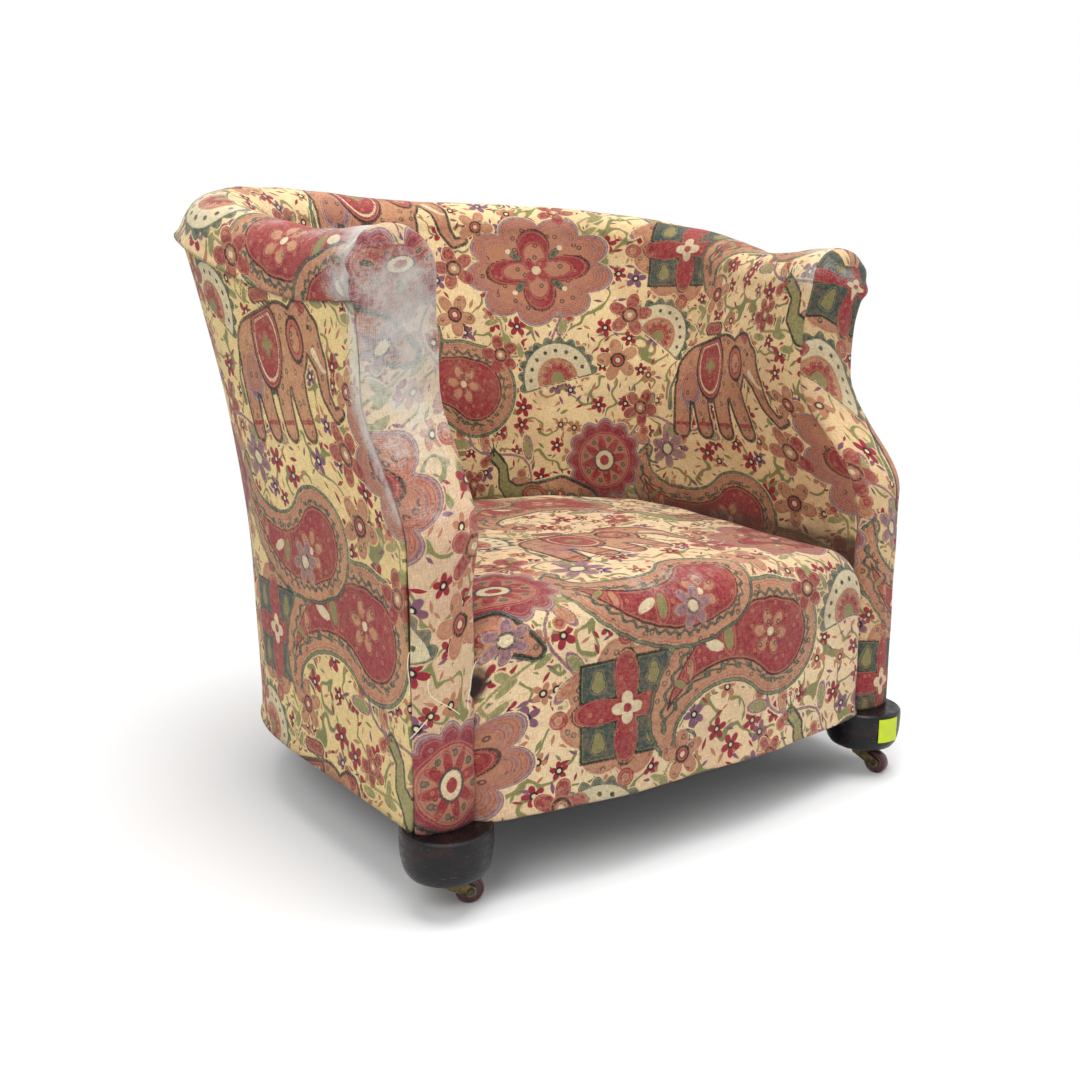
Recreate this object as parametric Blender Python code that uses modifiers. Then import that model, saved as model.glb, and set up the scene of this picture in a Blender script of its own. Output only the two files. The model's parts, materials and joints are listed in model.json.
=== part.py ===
"""A low upholstered tub armchair on turned feet with swivelling casters.

Metres, +Z up. The chair faces -Y. The origin lies on the floor, under the middle of its bounding box.
One U-shaped wall makes both arms and the back. A place on it is given by s, which runs from -1 at the
front of the left arm over 0 in the middle of the back to 1 at the front of the right arm, by u, the
distance outwards from the base line of the outside cloth, and by the height z.
"""

import math

import bmesh
import bpy
import numpy as np

# Plan of the wall, along the base line of the outside cloth
FRONT_HALF_WIDTH = 0.343
SIDE_HALF_WIDTH = 0.357
SIDE_LENGTH = 0.306
CORNER_DEPTH = 0.290
CORNER_POWER = 2.2
APRON_BOW = 0.033

# Heights of the wall
HEM_Z = 0.086
ARM_TOP_Z = 0.657
BACK_TOP_Z = 0.745
SEAT_LINE_Z = 0.316
TUCK_Z = 0.250

# The rolled top
ROLL_RADIUS = 0.045
ROLL_SHIFT_FRONT = -0.033
ROLL_SHIFT_BACK = 0.030
CREASE_ANGLE_FRONT = math.radians(37)
CREASE_ANGLE_BACK = math.radians(2)
FLARE_POWER = 2.6
CREST_START_SHARE = 0.12
CREST_CLIMB_SHARE = 0.66
ROLL_SHIFT_END_SHARE = 0.66
CREASE_END_SHARE = 0.55

# The inner face of the wall
WALL_THICKNESS_ARM = 0.068
WALL_THICKNESS_BACK = 0.090
INNER_BULGE = 0.012

# The arm fronts
SETBACK = 0.087
SETBACK_START_Z = 0.360
SETBACK_END_Z = 0.505
SETBACK_FADE_SHARE = 0.45
NOSE_SWELL = 0.008
NOSE_SWELL_Z = 0.560
NOSE_SWELL_HEIGHT = 0.060
FACING_ROUND = 0.014
NOSE_ROUND = 0.030
NOSE_REACH = 0.024
FACING_CROWN = 0.004

# Layers
CLOTH = 0.003
HESSIAN = 0.002
LAYER_GAP = 0.0008
SEAM_GAP = 0.0025
CONTACT_GAP = 0.0003

# Timber
FRAME_DEPTH = 0.030
SEAT_RAIL_HEIGHT = 0.083
STAY_RAIL_BOTTOM_Z = 0.203
STAY_RAIL_HEIGHT = 0.040
ARM_POST_DEPTH = 0.045
BACK_POST_WIDTH = 0.048
BACK_POST_SHARE = 0.66
TOP_RAIL_RADIUS = 0.0205
TOP_PULL_HEIGHT = 0.120
ARM_POST_CHAMFER = 0.018
ARM_POST_TOP_RISE = 0.0135
CORNER_BLOCK_SIDE = 0.060
CORNER_BLOCK_HEIGHT = 0.055
FRONT_RAIL_THICKNESS = 0.028
FRONT_RAIL_INSET = 0.015

# Seat
SEAT_EDGE_REAR_Z = 0.310
SEAT_EDGE_FRONT_Z = 0.288
SEAT_CROWN = 0.022
SEAT_SAG = 0.007
SEAT_FRONT_ROUND = 0.045
SEAT_UNDERSIDE_Z = 0.2365

# Seat suspension
WEB_THICKNESS = 0.002
WEB_WIDTH = 0.050
WEB_PITCH = 0.086
WEBS_ACROSS = 5
WEBS_ALONG = 5
SPRING_TURNS = 3.0
SPRING_END_RADIUS = 0.038
SPRING_WAIST_RADIUS = 0.027
SPRING_WIRE_RADIUS = 0.0018
SPRING_POINTS_PER_TURN = 8
WEB_MIDDLE_Y = -0.050
DUST_COVER_INSET = 0.012
DUST_COVER_THICKNESS = 0.0015
FOOT_NOTCH_CLEARANCE = 0.002

# Feet
FOOT_RADIUS = 0.0465
FOOT_BOTTOM_Z = 0.0335
FOOT_TAPER = 0.004
FOOT_TOE_ROUND = 0.014
FRONT_FOOT_INSET = 0.037
BACK_FOOT_INSET = 0.050
SPIGOT_RADIUS = 0.009
SPIGOT_HEIGHT = 0.034
TURNED_STEPS = 20
FITTING_STEPS = 16
PIN_STEPS = 12

# Casters
WHEEL_RADIUS = 0.0145
WHEEL_WIDTH = 0.011
WHEEL_EDGE_ROUND = 0.0015
AXLE_RADIUS = 0.0022
AXLE_HEAD_RADIUS = 0.0036
AXLE_HEAD_THICKNESS = 0.0012
RUNNING_CLEARANCE = 0.0004
CASTER_TRAIL = 0.022
PLATE_RADIUS = 0.020
PLATE_THICKNESS = 0.0022
CROWN_RADIUS = 0.009
CROWN_HEIGHT = 0.009
SPINDLE_RADIUS = 0.004
SPINDLE_HEIGHT = 0.014
CHEEK_THICKNESS = 0.0022
CHEEK_GAP = 0.0009
BOSS_RADIUS = 0.006

# Sticker
STICKER_SIDE = 0.030
STICKER_THICKNESS = 0.0006
STICKER_ANGLE = math.radians(-97)
STICKER_MIDDLE_Z = 0.066

# Mesh density
STATIONS = 21
SWEEP_STEPS = 4
ROLL_STEPS = 8
NOSE_STEPS = 4
SEAT_ROWS = 8
SEAT_COLUMNS = 11
PLAN_SAMPLES = 400

# Places that follow from the sizes
ROLL_REACH = ROLL_SHIFT_BACK + ROLL_RADIUS
DEPTH = APRON_BOW + SIDE_LENGTH + CORNER_DEPTH + ROLL_REACH + FACING_ROUND
APRON_Y = -DEPTH / 2
FACING_FRONT_Y = APRON_Y + APRON_BOW
ARM_START_Y = FACING_FRONT_Y + FACING_ROUND
CORNER_Y = ARM_START_Y + SIDE_LENGTH
RAIL_BOTTOM_Z = HEM_Z
RAIL_TOP_Z = RAIL_BOTTOM_Z + SEAT_RAIL_HEIGHT
WHEEL_APOTHEM = WHEEL_RADIUS * math.cos(math.pi / TURNED_STEPS)
PLATE_BOTTOM_Z = FOOT_BOTTOM_Z - CONTACT_GAP - PLATE_THICKNESS
CROWN_TOP_Z = PLATE_BOTTOM_Z - CONTACT_GAP
FOOT_TOP_Z = RAIL_BOTTOM_Z - CONTACT_GAP
WEB_BOTTOM_Z = RAIL_BOTTOM_Z - CONTACT_GAP - WEB_THICKNESS
SPRING_BOTTOM_Z = WEB_BOTTOM_Z + WEB_THICKNESS + CONTACT_GAP
HESSIAN_TOP_Z = SEAT_UNDERSIDE_Z - CONTACT_GAP
SPRING_TOP_Z = HESSIAN_TOP_Z - HESSIAN - CONTACT_GAP
POST_CLEAR = CLOTH + LAYER_GAP

# Corners of the chair, as name, side (-1 left, 1 right) and turn of the caster's trail in plan
CORNERS = (
    ("front_left", -1, math.radians(-18)),
    ("front_right", 1, math.radians(-75)),
    ("back_left", -1, math.radians(35)),
    ("back_right", 1, math.radians(62)),
)


def ease(t):
    """Smooth step from 0 to 1."""
    t = min(max(t, 0.0), 1.0)
    return t * t * (3 - 2 * t)


def blend(front, back, t):
    return front + (back - front) * ease(t)


def spread(first, last, count):
    """Evenly spaced values from first to last."""
    return [first + (last - first) * k / (count - 1) for k in range(count)]


# The base line


def half_base_line():
    """Points of the right half of the base line, from the arm front to the middle of the back."""
    t = np.linspace(0, 1, PLAN_SAMPLES)
    side_x = FRONT_HALF_WIDTH + (SIDE_HALF_WIDTH - FRONT_HALF_WIDTH) * t**2 * (3 - 2 * t)
    side_y = ARM_START_Y + SIDE_LENGTH * t
    turn = np.linspace(0, math.pi / 2, PLAN_SAMPLES)[1:]
    corner_x = SIDE_HALF_WIDTH * np.clip(np.cos(turn), 0, 1) ** (2 / CORNER_POWER)
    corner_y = CORNER_Y + CORNER_DEPTH * np.sin(turn) ** (2 / CORNER_POWER)
    return np.column_stack([np.append(side_x, corner_x), np.append(side_y, corner_y)])


BASE_LINE = half_base_line()
BASE_STEPS = np.linalg.norm(np.diff(BASE_LINE, axis=0), axis=1)
BASE_LENGTHS = np.append(0, np.cumsum(BASE_STEPS))
HALF_LENGTH = float(BASE_LENGTHS[-1])


# Places along the wall

ARM_POST_END = (ARM_POST_DEPTH - FACING_ROUND + CONTACT_GAP) / HALF_LENGTH
POST_HALF_SHARE = BACK_POST_WIDTH / 2 / HALF_LENGTH
JOINT_SHARE = CONTACT_GAP / HALF_LENGTH
FRONT_S = 1 - ARM_POST_END
COVER_FRONT_S = 1 - SEAM_GAP / HALF_LENGTH
BACK_POST_S = 1 - BACK_POST_SHARE
BACK_POST_FRONT_S = BACK_POST_S + POST_HALF_SHARE
BACK_POST_REAR_S = BACK_POST_S - POST_HALF_SHARE
SEAT_REAR_SHARE = 0.985
SEAT_FRONT_SHARE = (SEAT_FRONT_ROUND - FACING_ROUND) / HALF_LENGTH


def base_point(a):
    """Place on the right half, with a = 0 at the arm front and 1 in the middle of the back."""
    length = min(max(a, 0.0), 1.0) * HALF_LENGTH
    return np.array([np.interp(length, BASE_LENGTHS, BASE_LINE[:, k]) for k in (0, 1)])


def base_directions(a):
    """Unit tangent towards the back and unit normal outwards, at a on the right half."""
    if a >= 1:
        tangent = np.array([-1.0, 0.0])
    else:
        step = 2 / PLAN_SAMPLES
        tangent = base_point(a + step) - base_point(a - step)
        tangent = tangent / np.linalg.norm(tangent)
    return tangent, np.array([tangent[1], -tangent[0]])


def setback(z):
    """How far the arm front stands back at this height."""
    sweep = SETBACK * ease((z - SETBACK_START_Z) / (SETBACK_END_Z - SETBACK_START_Z))
    return sweep - NOSE_SWELL * ease((z - NOSE_SWELL_Z) / NOSE_SWELL_HEIGHT)


def wall_point(s, u, z, forward=0.0):
    """World place of (s, u, z). The setback of the arm front fades out along the arm."""
    a = 1 - abs(s)
    tangent, normal = base_directions(a)
    x, y = base_point(a) + normal * u - tangent * forward
    fade = max(0.0, 1 - a / SETBACK_FADE_SHARE)
    return (x if s >= 0 else -x, y + setback(z) * fade, z)


WALL_STATIONS = spread(-1.0, 1.0, STATIONS)


def stations_between(first, last):
    """first, the stations of the wall between, and last."""
    low, high = min(first, last), max(first, last)
    inside = [s for s in WALL_STATIONS if low + JOINT_SHARE / 2 < s < high - JOINT_SHARE / 2]
    return [first, *(inside if first < last else inside[::-1]), last]


def wall_points(s, line):
    """World points at s of line(a), a list of (u, z). Between two stations the wall is straight."""
    k = min(int((s + 1) * (STATIONS - 1) / 2), STATIONS - 2)
    before, after = WALL_STATIONS[k], WALL_STATIONS[k + 1]
    share = (s - before) / (after - before)
    starts = [wall_point(before, u, z) for u, z in line(1 - abs(before))]
    ends = [wall_point(after, u, z) for u, z in line(1 - abs(after))]
    return [tuple(p + (q - p) * share for p, q in zip(start, end)) for start, end in zip(starts, ends)]


# The section of the wall at one place


def roll_centre(a):
    u = blend(ROLL_SHIFT_FRONT, ROLL_SHIFT_BACK, a / ROLL_SHIFT_END_SHARE)
    z = blend(ARM_TOP_Z, BACK_TOP_Z, (a - CREST_START_SHARE) / CREST_CLIMB_SHARE) - ROLL_RADIUS
    return u, z


def crease_angle(a):
    return blend(CREASE_ANGLE_FRONT, CREASE_ANGLE_BACK, a / CREASE_END_SHARE)


def roll_point(a, angle, inset):
    """On the roll, with the angle counted from straight outwards over the top to straight inwards."""
    u, z = roll_centre(a)
    radius = ROLL_RADIUS - inset
    return u + radius * math.cos(angle), z + radius * math.sin(angle)


def outer_u(a, z):
    crease_u, crease_z = roll_point(a, -crease_angle(a), 0)
    rise = min(max((z - HEM_Z) / (crease_z - HEM_Z), 0.0), 1.0)
    return crease_u * rise**FLARE_POWER


def inner_u(a, z):
    centre_u, centre_z = roll_centre(a)
    foot_u = -blend(WALL_THICKNESS_ARM, WALL_THICKNESS_BACK, (a - 0.3) / 0.7)
    rise = min(max((z - SEAT_LINE_Z) / (centre_z - SEAT_LINE_Z), 0.0), 1.0)
    lean = (centre_u - ROLL_RADIUS - foot_u) * (rise + ease(rise)) / 2
    return foot_u + lean - INNER_BULGE * math.sin(math.pi * rise)


def lining_u(a, z):
    """Inner side of the timber frame."""
    return outer_u(a, z) - POST_CLEAR - FRAME_DEPTH


def support_u(a, z):
    """Face that the inside hessian lies against: the timber lining, drawn in to the top rail."""
    centre_u, centre_z = roll_centre(a)
    pull = ease((z - centre_z + TOP_PULL_HEIGHT) / TOP_PULL_HEIGHT)
    rail_side = centre_u - TOP_RAIL_RADIUS
    return lining_u(a, z) * (1 - pull) + min(rail_side, lining_u(a, z)) * pull


def face_levels(low, top):
    """Heights from low to top, closer together where the arm front sweeps back."""
    sweep = [
        SETBACK_START_Z + (SETBACK_END_Z - SETBACK_START_Z) * k / SWEEP_STEPS
        for k in range(SWEEP_STEPS + 1)
    ]
    inner = [SEAT_LINE_Z, *sweep, NOSE_SWELL_Z]
    return [low, *[z for z in inner if low < z < top], top]


# Modelling helpers


def material(name, colour, roughness, metallic=0.0):
    made = bpy.data.materials.new(name)
    made.use_nodes = True
    shader = made.node_tree.nodes["Principled BSDF"]
    shader.inputs["Base Color"].default_value = (*colour, 1.0)
    shader.inputs["Roughness"].default_value = roughness
    shader.inputs["Metallic"].default_value = metallic
    made.diffuse_color = (*colour, 1.0)
    return made


def add_object(name, mesh, surface, collection):
    made = bpy.data.objects.new(name, mesh)
    collection.objects.link(made)
    if not mesh.materials:
        mesh.materials.append(surface)
    return made


def smooth(mesh):
    mesh.shade_smooth()
    mesh.set_sharp_from_angle(angle=math.radians(40))


def surface_mesh(name, rows):
    """Open surface through rows of points. Seen from its front, the next row lies to the left."""
    bm = bmesh.new()
    grid = [[bm.verts.new(point) for point in row] for row in rows]
    for row, following in zip(grid, grid[1:]):
        for k in range(len(row) - 1):
            bm.faces.new((row[k], row[k + 1], following[k + 1], following[k]))
    bmesh.ops.remove_doubles(bm, verts=bm.verts, dist=1e-6)
    mesh = bpy.data.meshes.new(name)
    bm.to_mesh(mesh)
    bm.free()
    return mesh


def shell(name, rows, thickness, surface, collection):
    """Sheet of even thickness whose outer side is the surface through the rows."""
    made = add_object(name, surface_mesh(name, rows), surface, collection)
    solidify = made.modifiers.new("Thickness", "SOLIDIFY")
    solidify.thickness = thickness
    solidify.offset = -1
    solidify.use_even_offset = True
    smooth(made.data)
    return made


def loft(name, loops, surface, collection):
    """Closed solid through closed loops of equal length. Each end is closed by faces across the loop."""
    bm = bmesh.new()
    rings = [[bm.verts.new(point) for point in loop] for loop in loops]
    count = len(rings[0])
    for ring, following in zip(rings, rings[1:]):
        for k in range(count):
            n = (k + 1) % count
            bm.faces.new((ring[k], ring[n], following[n], following[k]))
    for ring in (rings[0], rings[-1]):
        for k in range(count // 2 - 1):
            bm.faces.new((ring[k], ring[k + 1], ring[count - 2 - k], ring[count - 1 - k]))
    bmesh.ops.recalc_face_normals(bm, faces=bm.faces)
    mesh = bpy.data.meshes.new(name)
    bm.to_mesh(mesh)
    bm.free()
    smooth(mesh)
    return add_object(name, mesh, surface, collection)


def prism(name, outline, low, high, surface, collection):
    """Flat outline, extruded upwards."""
    curve = bpy.data.curves.new(name, "CURVE")
    curve.dimensions = "2D"
    curve.fill_mode = "BOTH"
    curve.extrude = (high - low) / 2
    line = curve.splines.new("POLY")
    line.points.add(len(outline) - 1)
    for point, (x, y) in zip(line.points, outline):
        point.co = (x, y, 0, 1)
    line.use_cyclic_u = True
    made = bpy.data.objects.new(name, curve)
    collection.objects.link(made)
    curve.materials.append(surface)
    made.location.z = (low + high) / 2
    return made


def as_mesh(made, surface, collection):
    """The evaluated mesh of a curve or of an object with modifiers, in the object's place."""
    name = made.name
    bpy.context.view_layer.update()
    evaluated = made.evaluated_get(bpy.context.evaluated_depsgraph_get())
    mesh = bpy.data.meshes.new_from_object(evaluated)
    bm = bmesh.new()
    bm.from_mesh(mesh)
    bmesh.ops.remove_doubles(bm, verts=bm.verts, dist=1e-6)
    bmesh.ops.recalc_face_normals(bm, faces=bm.faces)
    bm.to_mesh(mesh)
    bm.free()
    place = made.matrix_world.copy()
    bpy.data.objects.remove(made)
    mesh.materials.clear()
    fresh = add_object(name, mesh, surface, collection)
    fresh.matrix_world = place
    return fresh


def turned(name, profile, surface, collection, closed=False, steps=TURNED_STEPS):
    """Profile in X and Z, down the outer side, turned about Z. A closed profile makes a ring."""
    bm = bmesh.new()
    points = [bm.verts.new((x, 0, z)) for x, z in profile]
    ends = points[1:] + points[:1] if closed else points[1:]
    for upper, lower in zip(points, ends):
        bm.edges.new((upper, lower))
    mesh = bpy.data.meshes.new(name)
    bm.to_mesh(mesh)
    bm.free()
    made = add_object(name, mesh, surface, collection)
    screw = made.modifiers.new("Turn", "SCREW")
    screw.steps = steps
    screw.render_steps = steps
    screw.use_merge_vertices = True
    screw.merge_threshold = 0.0001
    screw.use_smooth_shade = True
    return made


def cut(target, cutter, operation="DIFFERENCE"):
    """Boolean that stays on the target. The cutter is hidden."""
    cutter.hide_render = True
    cutter.display_type = "WIRE"
    modifier = target.modifiers.new(f"{operation.title()} {cutter.name}", "BOOLEAN")
    modifier.operation = operation
    modifier.object = cutter
    modifier.solver = "EXACT"


def cylinder(name, radius, low, high, place, surface, collection, steps=TURNED_STEPS):
    bm = bmesh.new()
    bmesh.ops.create_cone(
        bm, cap_ends=True, segments=steps, radius1=radius, radius2=radius, depth=high - low
    )
    mesh = bpy.data.meshes.new(name)
    bm.to_mesh(mesh)
    bm.free()
    made = add_object(name, mesh, surface, collection)
    made.location = (place[0], place[1], (low + high) / 2)
    return made


def wall_board(name, first, last, low, high, surface, collection):
    """Board along the wall between its cloth and the lining, from one s to another."""

    def section(a):
        inner, outer = lining_u(a, low), outer_u(a, low) - POST_CLEAR
        return [(inner, low), (outer, low), (outer, high), (inner, high)]

    loops = [wall_points(s, section) for s in stations_between(first, last)]
    return loft(name, loops, surface, collection)


def foot_place(name, side):
    if name.startswith("front"):
        return side * (FRONT_HALF_WIDTH - FRONT_FOOT_INSET), ARM_START_Y
    return wall_points(side * BACK_POST_S, lambda a: [(-BACK_FOOT_INSET, RAIL_BOTTOM_Z)])[0][:2]


# Timber frame


def apron_y(x):
    """Front of the apron cloth at this distance from the middle."""
    share = min(abs(x) / (FRONT_HALF_WIDTH - WALL_THICKNESS_ARM), 1.0)
    return APRON_Y + APRON_BOW * share**2.5


def apron_columns():
    """Places across the apron, between the two facings."""
    half = FRONT_HALF_WIDTH - WALL_THICKNESS_ARM - LAYER_GAP
    return spread(-half, half, SEAT_COLUMNS)


def seat_rail_front(wood, collection):
    loops = []
    for x in apron_columns():
        front = apron_y(x) + FRONT_RAIL_INSET
        back = front + FRONT_RAIL_THICKNESS
        loops.append(
            [
                (x, front, RAIL_BOTTOM_Z),
                (x, back, RAIL_BOTTOM_Z),
                (x, back, RAIL_TOP_Z),
                (x, front, RAIL_TOP_Z),
            ]
        )
    loft("seat_rail_front", loops, wood, collection)


def roll_reach(a, z):
    """Half width of the room inside the roll's cover at this height."""
    half_step = (math.pi + crease_angle(a)) / ROLL_STEPS / 2
    room = (ROLL_RADIUS - POST_CLEAR) * math.cos(half_step)
    return math.sqrt(room**2 - (z - roll_centre(a)[1]) ** 2)


def arm_post_section(a):
    """Round the post between the two cloths, from the bottom of its outer side over its top."""
    centre_u, centre_z = roll_centre(a)
    crease_z = roll_point(a, -crease_angle(a), 0)[1]
    top_z = centre_z + ARM_POST_TOP_RISE
    levels = face_levels(RAIL_BOTTOM_Z, crease_z)[:-1]
    outer = [(outer_u(a, z) - POST_CLEAR, z) for z in levels]
    inner = [(inner_u(a, z) + POST_CLEAR, z) for z in levels]
    share = (crease_z - NOSE_SWELL_Z) / (centre_z - NOSE_SWELL_Z)
    inner_crease = inner_u(a, NOSE_SWELL_Z) * (1 - share) + (centre_u - ROLL_RADIUS) * share
    inner.append((inner_crease + POST_CLEAR, crease_z))
    outer.append((centre_u + roll_reach(a, crease_z), crease_z))
    for z in (centre_z, top_z):
        outer.append((centre_u + roll_reach(a, z), z))
        inner.append((centre_u - roll_reach(a, z), z))
    return outer + inner[::-1]


def arm_post(name, side, foot, wood, collection, cutters):
    section = arm_post_section(0)
    half = len(section) // 2
    inset = [ARM_POST_CHAMFER] * half + [-ARM_POST_CHAMFER] * half
    face = [(u - d, z) for (u, z), d in zip(section, inset)]
    loops = [
        [wall_point(side, u, z, FACING_ROUND - POST_CLEAR - SEAM_GAP) for u, z in face],
        [wall_point(side, u, z) for u, z in section],
        wall_points(side * (FRONT_S + LAYER_GAP / HALF_LENGTH), arm_post_section),
    ]
    post = loft(name, loops, wood, collection)
    bore_for_spigot(post, foot, cutters, wood)


def bore_for_spigot(target, foot, cutters, wood):
    radius = SPIGOT_RADIUS + RUNNING_CLEARANCE
    low = RAIL_BOTTOM_Z - SPIGOT_HEIGHT
    high = FOOT_TOP_Z + SPIGOT_HEIGHT + RUNNING_CLEARANCE
    bore = cylinder(f"{target.name}_bore", radius, low, high, foot, wood, cutters, FITTING_STEPS)
    cut(target, bore)


def back_post_section(a):
    top = roll_centre(a)[1] - TOP_RAIL_RADIUS - CONTACT_GAP
    levels = face_levels(RAIL_BOTTOM_Z, top)
    outer = [(outer_u(a, z) - POST_CLEAR, z) for z in levels]
    return outer + [(lining_u(a, z), z) for z in levels[::-1]]


def back_post(name, side, wood, collection):
    ends = side * BACK_POST_REAR_S, side * BACK_POST_FRONT_S
    loops = [wall_points(s, back_post_section) for s in stations_between(*ends)]
    loft(name, loops, wood, collection)


def top_rail_section(a):
    u, z = roll_centre(a)
    turns = [2 * math.pi * (k + 0.5) / 8 for k in range(8)]
    return [(u + TOP_RAIL_RADIUS * math.cos(t), z + TOP_RAIL_RADIUS * math.sin(t)) for t in turns]


def top_rail(wood, collection):
    loops = [wall_points(s, top_rail_section) for s in stations_between(-FRONT_S, FRONT_S)]
    loft("top_rail", loops, wood, collection)


def front_corner_block(name, side, wood, collection):
    """Three-cornered glue block behind the arm post."""
    z = RAIL_BOTTOM_Z
    start = FRONT_S - SEAM_GAP / HALF_LENGTH
    ends = side * start, side * (start - CORNER_BLOCK_SIDE / HALF_LENGTH)
    outline = [wall_points(s, lambda a: [(lining_u(a, z) - LAYER_GAP, z)])[0] for s in stations_between(*ends)]
    outline.append(wall_points(ends[0], lambda a: [(lining_u(a, z) - CORNER_BLOCK_SIDE, z)])[0])
    flat = [point[:2] for point in outline]
    prism(name, flat, z, z + CORNER_BLOCK_HEIGHT, wood, collection)


def back_corner_block(name, side, foot, wood, collection, cutters):
    """Block on the inner side of the back post, bored for the foot's spigot."""
    half = CORNER_BLOCK_SIDE / 2 / HALF_LENGTH
    low, high = RAIL_BOTTOM_Z, RAIL_BOTTOM_Z + CORNER_BLOCK_HEIGHT

    def section(a):
        outer = lining_u(a, low) - LAYER_GAP
        inner = -2 * BACK_FOOT_INSET - outer
        return [(inner, low), (outer, low), (outer, high), (inner, high)]

    ends = side * (BACK_POST_S - half), side * (BACK_POST_S + half)
    block = loft(name, [wall_points(s, section) for s in stations_between(*ends)], wood, collection)
    bore_for_spigot(block, foot, cutters, wood)


# Seat


def seat_edge(a):
    """Half width of the seat and its y, at a along the inner line of the wall."""
    return wall_points(1 - a, lambda b: [(inner_u(b, TUCK_Z) - SEAM_GAP, TUCK_Z)])[0][:2]


def seat_top_z(w, depth):
    """Height of the seat at w across (-1 to 1) and depth from the front edge (0) to the back (1)."""
    edge = SEAT_EDGE_FRONT_Z + (SEAT_EDGE_REAR_Z - SEAT_EDGE_FRONT_Z) * depth
    crown = SEAT_CROWN * (1 - abs(w) ** 2.5) * math.sin(math.pi * (0.3 + 0.65 * depth))
    sag = SEAT_SAG * math.exp(-((w / 0.5) ** 2) - ((depth - 0.45) / 0.25) ** 2)
    return edge + crown - sag


def seat_rows(inset):
    """Rows across the seat from the back to the front edge and down the front, as lists of points."""
    front_half, front_y = seat_edge(SEAT_FRONT_SHARE)
    rear_y = seat_edge(SEAT_REAR_SHARE)[1]
    across = spread(-1, 1, SEAT_COLUMNS)
    edge_y = [apron_y(w * front_half) for w in across]
    rows = []
    for a in spread(SEAT_REAR_SHARE, SEAT_FRONT_SHARE, SEAT_ROWS):
        half, y = seat_edge(a)
        depth = (y - front_y) / (rear_y - front_y)
        row = []
        for w, edge in zip(across, edge_y):
            start = edge + SEAT_FRONT_ROUND
            place = start + (rear_y - inset - start) * depth
            row.append((w * (half - inset), place, seat_top_z(w, depth) - inset))
        rows.append(row)
    radius = SEAT_FRONT_ROUND - inset
    for turn in spread(0, math.pi / 2, NOSE_STEPS)[1:]:
        row = []
        for w, edge in zip(across, edge_y):
            y = edge + SEAT_FRONT_ROUND - radius * math.sin(turn)
            z = seat_top_z(w, 0) - SEAT_FRONT_ROUND + radius * math.cos(turn)
            row.append((w * (front_half - inset), y, z))
        rows.append(row)
    return rows


def at_height(row, z):
    return [(x, y, z) for x, y, _ in row]


def apron_wadding(fibre, collection):
    """Padding between the front rail and the apron cloth."""
    low, high = RAIL_BOTTOM_Z + CLOTH, RAIL_TOP_Z
    loops = []
    for x in apron_columns():
        front, back = apron_y(x) + POST_CLEAR, apron_y(x) + FRONT_RAIL_INSET - CONTACT_GAP
        loops.append([(x, front, low), (x, back, low), (x, back, high), (x, front, high)])
    loft("apron_wadding", loops, fibre, collection)


def seat_cover(cloth, collection):
    rows = seat_rows(0)
    rows += [at_height(rows[-1], (rows[-1][0][2] + HEM_Z) / 2), at_height(rows[-1], HEM_Z)]
    columns = [list(column) for column in zip(*rows)]
    shell("seat_cover", columns, CLOTH, cloth, collection)


def seat_stuffing(fibre, collection):
    """Pad on the spring hessian, with a lip down to the front rail."""
    rows = seat_rows(CLOTH + LAYER_GAP)
    loops = []
    for k, row in enumerate(rows):
        underside = SEAT_UNDERSIDE_Z if k < SEAT_ROWS else RAIL_TOP_Z + CONTACT_GAP
        loops.append(row + at_height(row, underside)[::-1])
    loft("seat_stuffing", loops, fibre, collection)


def outline_along_wall(line, end):
    """Plan outline along the wall at line(a), from s = -end to end, closed by a straight front."""
    return [wall_points(s, line)[0][:2] for s in stations_between(-end, end)]


def seat_hessian(jute, collection):
    z = STAY_RAIL_BOTTOM_Z
    end = FRONT_S - SEAM_GAP / HALF_LENGTH
    outline = outline_along_wall(lambda a: [(lining_u(a, z) - CONTACT_GAP, z)], end)
    prism("seat_hessian", outline, HESSIAN_TOP_Z - HESSIAN, HESSIAN_TOP_Z, jute, collection)


def strap_edges(middle, straps, low, high):
    """Edges of evenly spaced straps round the middle, with the mat's own ends."""
    edges = [low]
    for k in range(straps):
        centre = middle + (k - (straps - 1) / 2) * WEB_PITCH
        edges += [centre - WEB_WIDTH / 2, centre + WEB_WIDTH / 2]
    return edges + [high]


def seat_webbing(jute, collection, cutters):
    """Straps both ways in one mat, cut to the outline of the rails they are tacked to."""
    reach = SIDE_HALF_WIDTH + WEB_WIDTH
    low_y, high_y = APRON_Y - WEB_WIDTH, CORNER_Y + CORNER_DEPTH + WEB_WIDTH
    xs = strap_edges(0, WEBS_ALONG, -reach, reach)
    ys = strap_edges(WEB_MIDDLE_Y, WEBS_ACROSS, low_y, high_y)
    bm = bmesh.new()
    grid = [[bm.verts.new((x, y, 0)) for x in xs] for y in ys]
    for j in range(len(ys) - 1):
        for i in range(len(xs) - 1):
            if i % 2 or j % 2:
                bm.faces.new((grid[j][i], grid[j][i + 1], grid[j + 1][i + 1], grid[j + 1][i]))
    mesh = bpy.data.meshes.new("seat_webbing")
    bm.to_mesh(mesh)
    bm.free()
    mat = add_object("seat_webbing", mesh, jute, collection)
    mat.location.z = WEB_BOTTOM_Z + WEB_THICKNESS
    solidify = mat.modifiers.new("Thickness", "SOLIDIFY")
    solidify.thickness = WEB_THICKNESS
    solidify.offset = -1
    outline = under_outline(FRAME_DEPTH / 2 + POST_CLEAR)
    block = prism("webbing_outline", outline, WEB_BOTTOM_Z - CLOTH, RAIL_BOTTOM_Z + CLOTH, jute, cutters)
    cut(mat, as_mesh(block, jute, cutters), "INTERSECT")
    return mat


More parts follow.
